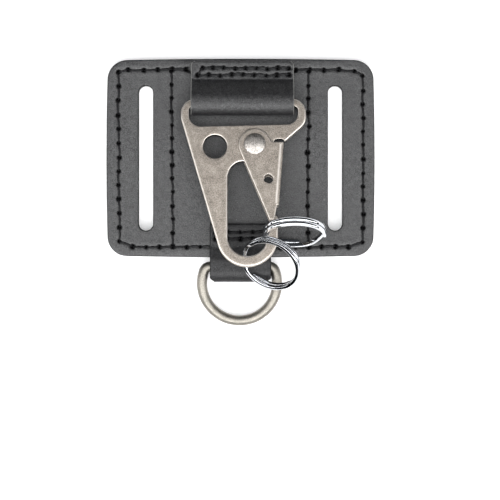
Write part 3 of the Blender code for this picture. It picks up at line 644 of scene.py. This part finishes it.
def pressed(names):
    """How far leather is pushed in by the stitches of some seams, and the shade painted into its needle
    holes and along its stitch lines.
    """
    starts, ends = seam_ends(names)
    holes = [p for name in names for p in seam_holes(name)]
    sizes = np.array([HOLE_RADIUS * (1 + 0.45 * noise.noise(Vector((p.x, p.y, 1.5)))) for p in holes])
    holes = np.array(holes)

    def relief(points):
        flat = np.array([tuple(p)[:2] for p in points])
        seam = to_segments(flat, starts, ends)
        hole = (np.linalg.norm(flat[:, None] - holes[None], axis=2) / sizes).min(1)
        sag = -PRESS_DEPTH * np.exp(-(seam / PRESS_WIDTH) ** 2)
        swell = SWELL_HEIGHT * np.exp(-((seam - SWELL_AWAY) / SWELL_WIDTH) ** 2)
        pit = -HOLE_DEPTH * np.exp(-hole ** 4)
        wave = [WAVE_HEIGHT * noise.noise(Vector((x * WAVE_SCALE, y * WAVE_SCALE, 0.5))) for x, y in flat]
        # Painted shade: black in each needle hole and a darker line where the thread sinks in
        dark = np.maximum(np.exp(-(hole / 1.15) ** 4), LINE_PAINTED_SHADE * np.exp(-(seam / 0.34) ** 4))
        return sag + swell + pit + np.array(wave), -dark

    return relief


def seam_points(names):
    """Points that lie dense enough along some seams to carry the relief."""
    points = []
    for name in names:
        line = spread(seam_holes(name), LANE_STEP, closed=False)
        for across in LANES:
            points += [tuple(p + n * across) for p, n in zip(line, mitres(line, closed=False))]
    return np.array(points)


def panel_points(loops, spacing, seams):
    """Points of a honeycomb on the panel, clear of its edges, with denser points along its seams."""
    columns = int(PANEL_WIDTH / spacing)
    rows = int(PANEL_HEIGHT / spacing / ROW_STEP)
    points = honeycomb((0, 0), range(-columns // 2, columns // 2 + 1), range(-rows // 2, rows // 2 + 1),
                       spacing)
    points = points[to_segments(points, *seam_ends(seams)) > LANES[-1] + spacing / 3]
    return within(np.concatenate([points, seam_points(seams)]), loops, PANEL_KEEP_OUT)


# Leather panel

def panel_outline():
    """The panel's outline: a rounded rectangle whose sides bow out a little."""
    half_x = PANEL_WIDTH / 2 - PANEL_BOW
    half_y = PANEL_HEIGHT / 2 - PANEL_BOW
    square = rounded([(x, y, PANEL_CORNER) for x, y in
                      ((half_x, half_y), (-half_x, half_y), (-half_x, -half_y), (half_x, -half_y))])
    bowed = []
    for p in spread(square, 0.55):
        side_x = PANEL_BOW * (1 - (p.y / half_y) ** 2) * p.x / half_x
        side_y = PANEL_BOW * (1 - (p.x / half_x) ** 2) * p.y / half_y
        bowed.append(Vector((p.x + side_x, p.y + side_y)))
    return bowed


def belt_slot(side):
    """One belt slot's outline, with round ends; side is -1 or 1."""
    half = SLOT_WIDTH / 2
    straight = SLOT_LENGTH / 2 - half
    ends = arc(side * SLOT_X, straight, half, 0, 180, 20) + arc(side * SLOT_X, -straight, half, 180, 360, 20)
    return spread(ends, 0.45)


def build_panels(finish):
    """The two leather layers with their rounded edges, slots and pressed-in seams."""
    loops = oriented(panel_outline(), [belt_slot(-1), belt_slot(1)])
    front = panel_points(loops, FRONT_SPACING, PANEL_SEAMS)
    vertices, faces, rim = slab(loops, BACK_TOP, PANEL_TOP, LAYER_JOINT_ROUND, PANEL_ROUND, front,
                                relief_high=pressed(PANEL_SEAMS))
    dress(make("front_leather", vertices, faces, finish, rim, 80), "panel", "black_leather", "front_panel")
    back = panel_points(loops, BACK_SPACING, tuple(SEAMS))
    vertices, faces, rim = slab(loops, BACK_BOTTOM, BACK_TOP, BACK_ROUND, LAYER_JOINT_ROUND, back,
                                relief_low=pressed(tuple(SEAMS)))
    dress(make("back_leather", vertices, faces, finish, rim, 80), "panel", "black_leather", "back_panel")


# Stitches

def stitch(start, end, height, out):
    """One twisted stitch between two needle holes; out is 1 on the front and -1 on the back."""
    along = end - start
    length = along.length
    along = along.normalized()
    across = Vector((-along.y, along.x))
    stray = STITCH_STRAY * noise.noise(Vector((start.x * 0.7, start.y * 0.7, out)))
    route = ((0.0, -0.75), (0.03, -0.4), (0.09, -0.12), (0.2, 0.03), (0.5, 0.08), (0.8, 0.03),
             (0.91, -0.12), (0.97, -0.4), (1.0, -0.75))
    shares = np.linspace(0, 1, STITCH_STEPS + 1)
    lifts = np.interp(shares, [r[0] for r in route], [r[1] for r in route])
    runs = STITCH_INSET + (length - 2 * STITCH_INSET) * shares
    centres = []
    for share, lift, run in zip(shares, lifts, runs):
        aside = (share - 0.5) * STITCH_SLANT + stray * math.sin(math.pi * share)
        flat = start + along * run + across * aside
        centres.append(Vector((flat.x, flat.y, height + out * (lift - STITCH_SINK))))
    sections = []
    for k, centre in enumerate(centres):
        ahead = (centres[min(k + 1, len(centres) - 1)] - centres[max(k - 1, 0)]).normalized()
        side = ahead.cross(Vector((0, 0, 1))).normalized()
        up = side.cross(ahead)
        ring = []
        for j in range(THREAD_SIDES):
            turn = 2 * math.pi * j / THREAD_SIDES
            twist = 2 * math.pi * runs[k] / THREAD_TWIST
            lobe = 1 + THREAD_PLY_DEPTH * math.cos(THREAD_PLIES * turn - twist)
            ring.append(centre + (side * math.cos(turn) + up * math.sin(turn)) * THREAD_RADIUS * lobe)
        sections.append(ring)
    return sweep(sections)


def build_stitches(finish):
    """Each seam's stitches, on the front of what it holds and on the panel's back."""
    heights = {"hook_strap_seam": STRAP_UPPER_LEG + STRAP_HALF, "ring_tab_seam": TAB_LEG + TAB_HALF}
    for name in SEAMS:
        holes = seam_holes(name)
        for side, height, out in (("front", heights.get(name, PANEL_TOP), 1), ("back", BACK_STITCH_Z, -1)):
            vertices, faces = [], []
            for start, end in zip(holes, holes[1:]):
                more, around = stitch(start, end, height, out)
                faces += [[i + len(vertices) for i in face] for face in around]
                vertices += more
            node = f"{name}_{side}_thread"
            dress(make(node.replace("thread", "stitches"), vertices, faces, finish), "panel",
                  "waxed_thread", node)


# Folded strap and tab

def band_section(low, high, half, cuts):
    """A band's (x, height) cross-section from its outer face on, and how far each is round its edge."""
    size = min(BAND_ROUND, half * 0.95)
    left, right, top = low + size, high - size, half - size
    outer = [(left + (right - left) * k / cuts, half) for k in range(cuts + 1)]
    inner = [(right + (left - right) * k / (cuts // 4), -half) for k in range(cuts // 4 + 1)]
    points = outer + arc(right, top, size, 67.5, 0, 3) + arc(right, -top, size, 0, -67.5, 3)
    points += inner + arc(left, -top, size, -112.5, -180, 3) + arc(left, top, size, 180, 112.5, 3)
    return points, [max(0.0, x - right, left - x) / size for x, _ in points]


def folded(stations, left, right, cuts, relief):
    """A folded band through (y, z, half thickness, side inset) stations, with rounded edges.

    The side to the left of the stations is its outer face, which carries the relief where it is level.
    """
    line = [Vector(s[:2]) for s in stations]
    sections = []
    rim = []
    for (y, z, half, inset), normal in zip(stations, mitres(line, closed=False)):
        normal = normal.normalized()
        points, edges = band_section(left + inset, right - inset, half, cuts)
        section = []
        for x, v in points:
            v += BAND_WAVE * noise.noise(Vector((x * 0.12, y * 0.2, z * 0.2)))
            section.append(Vector((x, y + normal.x * v, z + normal.y * v)))
        if normal.y > 0.98:
            # The relief's tint is the shade painted into needle holes and stitch lines
            shift, tint = relief(section)
            for k in range(cuts + 1):
                section[k] = section[k] + Vector((0, 0, shift[k]))
                edges[k] = tint[k]
        sections.append(section)
        rim += edges
    vertices, faces = sweep(sections)
    return vertices, faces, rim


def end_stations(y, z, half, radius):
    """Stations of a band's rounded end, from the end inwards along -Y."""
    made = []
    soft = half * 0.5
    steps = 8
    for k in range(steps + 1):
        turn = math.pi / 2 * k / steps
        run = radius * (1 - math.cos(turn))
        thick = half if run > soft else half - soft + math.sqrt(max(0.0, soft ** 2 - (soft - run) ** 2))
        made.append((y - run, z, thick, radius * (1 - math.sin(turn))))
    return made


def between(first, last, count, half):
    """Evenly spaced stations between two points, without the points themselves."""
    return [(*Vector(first).lerp(Vector(last), k / count), half, 0.0) for k in range(1, count)]


def build_strap(finish, bar):
    """The strap, folded round the hook's bar with both ends on the panel."""
    lower = end_stations(STRAP_END_Y, STRAP_LEG, STRAP_HALF, STRAP_CORNER)
    upper = end_stations(STRAP_END_Y, STRAP_UPPER_LEG, STRAP_HALF, STRAP_CORNER)
    roll = arc(bar.y, bar.z, STRAP_MIDDLE, 270, 90, 38)
    crest = (bar.y + STRAP_CREST, roll[-1].y - STRAP_CREST_DIP)
    foot = (bar.y + STRAP_FOOT, STRAP_UPPER_LEG)
    inner = (upper[-1][0], STRAP_UPPER_LEG)
    descent = rounded([(*roll[-1], 0), (*crest, STRAP_CREST_ROUND), (*foot, STRAP_FOOT_ROUND),
                       (*inner, 0)], closed=False)
    descent = spread(descent, STATION_STEP, closed=False)
    stations = lower + between(lower[-1][:2], (bar.y, STRAP_LEG), 14, STRAP_HALF)
    stations += [(*p, STRAP_HALF, 0.0) for p in roll]
    stations += [(*p, STRAP_HALF, 0.0) for p in descent[1:-1]]
    stations += upper[::-1]
    vertices, faces, rim = folded(stations, STRAP_LEFT, STRAP_RIGHT, STRAP_CUTS,
                                  pressed(("hook_strap_seam",)))
    dress(make("strap_leather", vertices, faces, finish, rim, 80), "panel", "black_leather", "hook_strap")


def build_tab(finish):
    """The tab, folded round the D-ring's bar, its tail between the panel's layers."""
    edge_y = -PANEL_HEIGHT / 2
    top_z = D_BAR.z + TAB_MIDDLE
    line = rounded([(TAB_TOP_Y - TAB_TOP_ROUND, TAB_LEG, 0), (edge_y + TAB_RISE, TAB_LEG, TAB_FILLET),
                    (D_BAR.y + TAB_BORE, top_z, TAB_FILLET), (TAB_FOLD_Y, top_z, 0)], closed=False)
    front = spread(line, STATION_STEP, closed=False)
    fold = [Vector((p.x, D_BAR.z + (p.y - D_BAR.z) * (1 if p.y > D_BAR.z else TAB_SQUASH)))
            for p in arc(TAB_FOLD_Y, D_BAR.z, TAB_MIDDLE, 90, 270, 30)]
    wrap = arc(D_BAR.y, D_BAR.z, TAB_MIDDLE - GAP, 270, 330, 10)
    stations = []
    for k in range(6):
        turn = math.pi / 2 * k / 5
        half = TAB_HALF * (0.5 + 0.5 * math.sin(turn))
        stations.append((TAB_TOP_Y - TAB_TOP_ROUND * (1 - math.cos(turn)), TAB_LEG, half, 0.0))
    stations += [(*p, TAB_HALF, 0.0) for p in front[1:]]
    for p in fold[1:]:
        cut = TAB_CUT - TAB_CUT_SLOPE * (p.x - TAB_FOLD_Y + TAB_MIDDLE)
        stations.append((*p, TAB_HALF, max(0.0, cut)))
    stations += [(*p, TAB_HALF - (TAB_HALF - TAB_TAIL_HALF) * k / 10, 0.0) for k, p in enumerate(wrap)]
    stations += [(y, TAB_TAIL_Z, TAB_TAIL_HALF, 0.0) for y in (edge_y - GAP, -26.0, TAB_TAIL_END)]
    vertices, faces, rim = folded(stations[::-1], -TAB_HALF_WIDTH, TAB_HALF_WIDTH, TAB_CUTS,
                                  pressed(("ring_tab_seam",)))
    dress(make("tab_leather", vertices, faces, finish, rim, 80), "panel", "dark_leather", "ring_tab")


# Snap hook

def hook_outline():
    """The hook's outline in its own plane."""
    bottom = -HOOK_LENGTH
    right = BEND_X + BEND_OUTER
    inner_left = BEND_X - BEND_INNER
    inner_right = BEND_X + BEND_INNER
    inner_bottom = bottom + BEND_OUTER - BEND_INNER
    shoulder = Vector((-HOOK_LEFT, -SHOULDER_DROP))
    reach = Vector((BEND_X, bottom + BEND_OUTER)) - shoulder
    lean = math.atan2(reach.x, -reach.y) - math.asin(BEND_OUTER / reach.length)
    heel_x = -HOOK_LEFT + (HOOK_LENGTH - SHOULDER_DROP) * math.tan(lean)
    ear = PIVOT.x + EAR_RADIUS
    return rounded([
        (-HOOK_LEFT, BAR_HALF, 4.5), (*shoulder, 3.0), (heel_x, bottom, BEND_OUTER),
        (right, bottom, BEND_OUTER), (right, -34.4, 0.95), (right - 2.0, -34.4, 0.95),
        (right - 2.0, -37.4, 1.8), (inner_right, bottom + BEND_OUTER, 1.8),
        (inner_right, inner_bottom, BEND_INNER), (inner_left, inner_bottom, BEND_INNER),
        (inner_left, -21.2, 4.3), (inner_left + 2.4, -18.0, 4.3), (ear, -18.0, EAR_RADIUS),
        (ear, -12.9, 0.6), (9.75, -12.5, 0.5), (9.9, -11.15, 1.5), (12.9, -11.15, 1.2), (13.3, -12.0, 0.15),
        (HOOK_RIGHT, -6.4, 4.5), (HOOK_RIGHT, BAR_HALF, 4.3)])


def build_hook(finish, hook):
    """The die-cast hook with its rounded edges, strap slot and eye."""
    left, right = SIDE_WALL - HOOK_LEFT, HOOK_RIGHT - SIDE_WALL
    slot = rounded([(left, -BAR_HALF, 1.3), (left, -7.4, 3.6), (right, -6.6, 3.4), (right, -BAR_HALF, 1.3)])
    holes = [slot, circle(*EYE, EYE_RADIUS, 64), circle(*PIVOT, PIVOT_BORE, 32)]
    outline = hook_outline()
    scales = []
    for p in outline:
        notch = 9.3 < p.x < 13.4 and -13.2 < p.y < -10.8
        bay = -4.0 < p.x < 9.0 and -22.0 < p.y < -17.0
        scales.append(NOTCH_EDGE if notch else BAY_EDGE if bay else 1.0)
    loops = oriented(outline, holes, scales, HOLE_EDGE)
    inner = inner_points(loops, HOOK_SPACING, HOOK_BEVEL + 0.2)
    wear = worn(loops, HOOK_BEVEL)
    vertices, faces, rim = slab(loops, -HOOK_HALF, HOOK_HALF, HOOK_BEVEL, HOOK_BEVEL, inner,
                                relief_low=wear, relief_high=wear, steps=6)
    piece = make("hook_casting", place(vertices, hook), faces, finish, rim, 40)
    weight_normals(piece)
    dress(piece, "hook", "antique_silver", "hook_frame")


def worn(loops, bevel):
    """How plating is rubbed next to its rounded edges and dark a little further in."""
    starts = np.concatenate([np.array([tuple(p) for p in loop]) for loop, _ in loops])
    ends = np.concatenate([np.roll(np.array([tuple(p) for p in loop]), -1, axis=0) for loop, _ in loops])

    def relief(points):
        flat = np.array([tuple(p)[:2] for p in points])
        edge = to_segments(flat, starts, ends) - bevel
        rubbed, dark = (share * np.exp(-((edge - at) / width) ** 2) for share, at, width in (WEAR, PATINA))
        return np.zeros(len(flat)), rubbed - dark

    return relief


def weight_normals(piece):
    """Keep flat faces flat next to their rounded edges."""
    piece.modifiers.new("weighted_normals", "WEIGHTED_NORMAL").keep_sharp = True


def gate_outline():
    """The gate's outline about its pivot, and its edge rounding at each point."""
    top, end = SPINE_TOP - PIVOT, SPINE_END - PIVOT
    reach = GATE_TIP - PIVOT
    left = math.degrees(math.atan2(reach.y, reach.x) - math.acos(GATE_HEAD / reach.length))
    head = arc(0, 0, GATE_HEAD, 360 + left, 33, 48)
    line = rounded([(*head[-1], 0), (GATE_HEAD + 0.2, top.y + 0.05, 1.1), (*top, 0.35), (*end, 0.2),
                    (end.x - 0.6, end.y, 0.2), (reach.x + 1.3, reach.y + 0.43, 0.4), (*reach, 0.4),
                    (*head[0], 0)], closed=False, step=15)
    outline = spread(head + line[1:-1], 0.3)
    scales = []
    for p in outline:
        along = (p - top).dot((end - top).normalized()) / (end - top).length
        beside = abs((p - top).cross((end - top).normalized()))
        scales.append(SPINE_EDGE if 0.01 < along < 0.99 and beside < 0.15 else 1.0)
    return outline, scales


def build_gate(finish, hook):
    """The folded sheet gate: two leaves joined by a chamfered spine."""
    outline, scales = gate_outline()
    half = GATE_INSIDE + LEAF
    holes = [circle(0, 0, PIVOT_BORE, 32), circle(*(GATE_HOLE - PIVOT), GATE_HOLE_RADIUS, 40)]
    loops = oriented(outline, holes, scales, GATE_HOLE_EDGE)
    wear = worn(loops, GATE_ROUND)
    inner = inner_points(loops, GATE_SPACING, 0.5)
    vertices, faces, rim = slab(loops, -half, half, GATE_ROUND, GATE_ROUND, inner,
                                relief_low=wear, relief_high=wear, steps=5)
    gate = make("gate_sheet", vertices, faces, finish, rim, 40)
    top, end = SPINE_TOP - PIVOT, SPINE_END - PIVOT
    along = (end - top).normalized()
    into = Vector((along.y, -along.x)) * LEAF
    cavity = [top + into - along * FAR, end + into, end + Vector((FAR, 0)), end + Vector((FAR, -FAR)),
              end + Vector((-FAR, -FAR)), top + Vector((-FAR, FAR))]
    vertices, faces, _ = slab(oriented(cavity, []), -GATE_INSIDE, GATE_INSIDE, 0.0001, 0.0001, steps=1)
    cutter = make("gate_hollow", vertices, faces, finish)
    cut = gate.modifiers.new("cut", "BOOLEAN")
    cut.operation = "DIFFERENCE"
    cut.solver = "EXACT"
    cut.object = cutter
    bpy.context.view_layer.update()
    cut_mesh = bpy.data.meshes.new_from_object(gate.evaluated_get(bpy.context.evaluated_depsgraph_get()))
    gate.modifiers.clear()
    gate.data = cut_mesh
    bpy.data.objects.remove(cutter)
    pivot = hook @ Vector((*PIVOT, 0))
    cut_mesh.transform(Matrix.Translation(pivot * MM) @ hook.to_3x3().to_4x4())
    weight_normals(gate)
    dress(gate, "gate", "antique_silver", "gate")


def build_rivet(finish, hook):
    """The gate's rivet: a shank with a domed head on each face."""
    seat = HOOK_HALF + GAP + LEAF
    dome = [(RIVET_HEAD * math.cos(a), seat + RIVET_WALL + RIVET_DOME * math.sin(a))
            for a in (math.pi / 2 * k / 12 for k in range(12))]
    front = [(RIVET_SHANK, seat), (RIVET_HEAD - 0.2, seat), (RIVET_HEAD - 0.02, seat + 0.05)]
    front += dome + [(RIVET_TOP, seat + RIVET_WALL + RIVET_DOME)]
    profile = [(r, -z) for r, z in reversed(front)] + front
    vertices, faces = sweep([[Vector((*p, z)) for p in circle(0, 0, r, 56)] for r, z in profile])
    matrix = hook @ Matrix.Translation((*PIVOT, 0))
    piece = make("rivet_domed", place(vertices, matrix), faces, finish)
    dress(piece, "hook", "antique_silver", "gate_rivet")


# D-ring and split rings

def build_d_ring(finish):
    """The D-ring, drawn about its straight bar."""
    chord = math.sqrt(D_ARC ** 2 - D_ARC_DROP ** 2)
    start = math.degrees(math.atan2(D_ARC_DROP, chord))
    cut = math.degrees(D_CORNER / D_ARC) / 2
    curve = arc(0, -D_ARC_DROP, D_ARC, 180 - start + cut, 360 + start - cut, 90)
    corners = rounded([(*curve[-1], 0), (chord, 0, D_CORNER), (-chord, 0, D_CORNER), (*curve[0], 0)],
                      closed=False)
    line = spread(curve + corners[1:-1], 0.6)
    slope = math.asin((D_BAR.z - D_WIRE - 0.05) / (D_ARC_DROP + D_ARC))
    matrix = Matrix.Translation(D_BAR) @ Matrix.Rotation(slope, 4, "X")
    wire = [(D_WIRE * math.cos(a), D_WIRE * math.sin(a)) for a in (2 * math.pi * k / 28 for k in range(28))]
    sections = [[Vector((p.x + n.x * across, p.y + n.y * across, up)) for across, up in wire]
                for p, n in zip(line, mitres(line))]
    vertices, faces = sweep(sections, closed=True)
    piece = make("d_ring_wire", place(vertices, matrix), faces, finish, None, 80)
    dress(piece, "d_ring", "antique_silver", "d_ring")


def ring_matrix(x, y, z, tilt, azimuth):
    """A ring's frame: its +X side is lifted by tilt and turned to azimuth, both in radians."""
    turn = Matrix.Rotation(azimuth, 4, "Z") @ Matrix.Rotation(-tilt, 4, "Y")
    return Matrix.Translation((x, y, z)) @ turn


def split_ring(radius, end, first_coil, blunt, matrix):
    """One wire with a domed outer face, wound nearly twice, its ends thinned to a share of its size.

    first_coil is 1 where it starts on the upper coil and -1 where it starts on the lower one.
    """
    centre_line = radius - RING_WIRE[0] / 2
    half_x, half_y = RING_WIRE[0] / 2, RING_WIRE[1] / 2
    flank, shoulder = half_x - RING_FLANK, half_x - RING_SHOULDER
    section = rounded([(half_x, 0, 0), (flank, half_y * 0.5, 0), (shoulder, half_y * 0.95, 0.1),
                       (-half_x, half_y, RING_SHOULDER), (-half_x, -half_y, RING_SHOULDER),
                       (shoulder, -half_y * 0.95, 0.1), (flank, -half_y * 0.5, 0)], step=15)
    steps = RING_TURN // 4
    sections = []
    for k in range(steps + 1):
        travel = RING_TURN * k / steps
        angle = math.radians(end - travel)
        to_end = min(travel, RING_TURN - travel)
        size = blunt + (1 - blunt) * min(1.0, to_end / RING_TAPER)
        if to_end < 1:
            size *= 0.8
        share = min(1.0, max(0.0, (travel - RING_STEP_START) / RING_STEP_TURN))
        z = first_coil * RING_PITCH * (0.5 - share * share * (3 - 2 * share))
        ring = []
        for p in section:
            r = centre_line + half_x + (p.x - half_x) * size
            ring.append(Vector((r * math.cos(angle), r * math.sin(angle), z + p.y * size)))
        sections.append(ring)
    vertices, faces = sweep(sections)
    return place(vertices, matrix), faces


def half_rise(tilt):
    """How far a tilted ring's wire reaches above its middle line."""
    half_height = (RING_PITCH + RING_WIRE[1]) / 2 + 0.01
    return half_height * math.cos(tilt) + RING_WIRE[0] / 2 * math.sin(tilt)


def build_rings(finish, hook):
    """Both split rings where they hang on the hook."""
    under = Vector((BEND_X, -HOOK_LENGTH + BEND_OUTER - BEND_INNER)) - LOWER_RING_AT
    uphill = Vector((math.cos(LOWER_RING_AZIMUTH), math.sin(LOWER_RING_AZIMUTH)))
    rise = under.dot(uphill) * math.tan(LOWER_RING_TILT)
    height = -HOOK_HALF - GAP - half_rise(LOWER_RING_TILT) - rise
    lower = hook @ ring_matrix(*LOWER_RING_AT, height, LOWER_RING_TILT, LOWER_RING_AZIMUTH)
    radius = UPPER_RING - RING_WIRE[0] / 2
    height = PANEL_TOP + GAP + half_rise(UPPER_RING_TILT) + radius * math.sin(UPPER_RING_TILT)
    flat = hook @ UPPER_RING_AT
    upper = ring_matrix(flat.x, flat.y, height, UPPER_RING_TILT, UPPER_RING_AZIMUTH)
    for name, radius, end, first_coil, blunt, matrix in (
            ("lower_split_ring", LOWER_RING, 82, 1, 0.5, lower),
            ("upper_split_ring", UPPER_RING, -169, -1, 0.9, upper)):
        vertices, faces = split_ring(radius, end, first_coil, blunt, matrix)
        piece = make(name.replace("ring", "ring_wire"), vertices, faces, finish, None, 60)
        dress(piece, name, "polished_nickel", name)


# Floor, light and camera

def build_stage():
    """A plain pale floor under soft studio light, and the camera straight above."""
    floor_finish = bpy.data.materials.new("pale_floor")
    floor_finish.use_nodes = True
    shader = floor_finish.node_tree.nodes["Principled BSDF"]
    shader.inputs["Base Color"].default_value = (0.72, 0.72, 0.72, 1)
    shader.inputs["Roughness"].default_value = 0.9
    shader.inputs["Specular IOR Level"].default_value = 0.1
    shader.inputs["Emission Color"].default_value = (1, 1, 1, 1)
    shader.inputs["Emission Strength"].default_value = 0.34
    reach, z = 2500, -0.02
    floor = make("floor", [(-reach, -reach, z), (reach, -reach, z), (reach, reach, z), (-reach, reach, z)],
                 [(0, 1, 2, 3)], floor_finish)
    world = bpy.data.worlds.new("studio")
    bpy.context.scene.world = world
    world.use_nodes = True
    tree = world.node_tree
    up = add(tree, "ShaderNodeSeparateXYZ", {0: add(tree, "ShaderNodeTexCoord").outputs["Generated"]})
    low = ramp(tree, up.outputs["Z"], 0.08, 0.9, 0.0, 0.24)
    side = ramp(tree, up.outputs["Y"], -0.8, 0.8, 1.3, 0.3)
    tree.nodes["Background"].inputs[0].default_value = (0.86, 0.93, 1.0, 1)
    tree.links.new(combine(tree, "MULTIPLY", low, side), tree.nodes["Background"].inputs[1])
    for name, where, aim, width, height, power in (
            ("softbox", (0.0, -0.85, 0.8), (0.0, -0.85, 0.0), 1.6, 0.8, 20.0),
            ("overhead", (0.0, -0.17, 0.93), (0.0, -0.03, 0.0), 1.9, 0.8, 14.8),
            ("left_strip", (-0.85, -0.15, 0.5), (0, 0, 0), 0.16, 0.8, 2.6),
            ("right_strip", (0.85, -0.15, 0.5), (0, 0, 0), 0.16, 0.8, 2.6)):
        light = bpy.data.lights.new(name, "AREA")
        light.shape = "RECTANGLE"
        light.size = width
        light.size_y = height
        light.energy = power
        lamp = bpy.data.objects.new(name, light)
        bpy.context.scene.collection.objects.link(lamp)
        lamp.location = where
        lamp.rotation_euler = (Vector(aim) - Vector(where)).to_track_quat("-Z", "Y").to_euler()
    camera = bpy.data.cameras.new("camera")
    camera.sensor_width = 36
    camera.lens = 141.6
    camera.clip_start = 0.01
    eye = bpy.data.objects.new("camera", camera)
    bpy.context.scene.collection.objects.link(eye)
    eye.location = (0.00288, -0.02788, 0.6)
    bpy.context.scene.camera = eye
    bpy.context.scene.view_settings.view_transform = "Standard"


bar = Vector(joints["hook_swing"]["pos_m"]) / MM
gate_axis = Vector(joints["gate_swing"]["axis"]).normalized()
hook_frame_matrix = Matrix.Translation(bar) @ Matrix.Rotation(math.asin(gate_axis.y), 4, "X")

black = ((0.004, 0.004, 0.0045), (0.011, 0.011, 0.012))
black_leather = leather("black_leather_grain", *black, 0.75, (0.003, 0.003, 0.003), 0.12)
strap_leather = leather("strap_leather_grain", *black, 0.62, (0.20, 0.20, 0.19), 0.8)
dark_leather = leather("dark_leather_grain", (0.003, 0.003, 0.0035), (0.009, 0.009, 0.010), 0.42,
                       (0.004, 0.004, 0.004), 0.3)
thread = waxed_thread("black_waxed_thread")
rubbed_silver = (0.9, 0.88, 0.85)
silver = antique_silver("antique_silver_cast", (0.165, 0.143, 0.122), (0.51, 0.455, 0.40),
                        (0.68, 0.635, 0.585))
silver_rivet = antique_silver("antique_silver_rivet", (0.10, 0.09, 0.08), (0.70, 0.66, 0.62),
                              rubbed_silver, 0.44, 0.8)
silver_wire = antique_silver("antique_silver_wire", (0.16, 0.15, 0.13), (0.32, 0.30, 0.265),
                             rubbed_silver, 0.44)
nickel = polished("polished_nickel_plate", (0.62, 0.635, 0.66), 0.04)
spring_steel = polished("spring_steel_wire", (0.5, 0.5, 0.5), 0.2)

build_panels(black_leather)
build_strap(strap_leather, bar)
build_tab(dark_leather)
build_stitches(thread)
build_hook(silver, hook_frame_matrix)
build_gate(silver, hook_frame_matrix)
build_rivet(silver_rivet, hook_frame_matrix)
build_d_ring(silver_wire)
build_rings(nickel, hook_frame_matrix)
spring = frame["nodes"]["gate_spring"]
spring.data.materials.clear()
spring.data.materials.append(spring_steel)
build_stage()
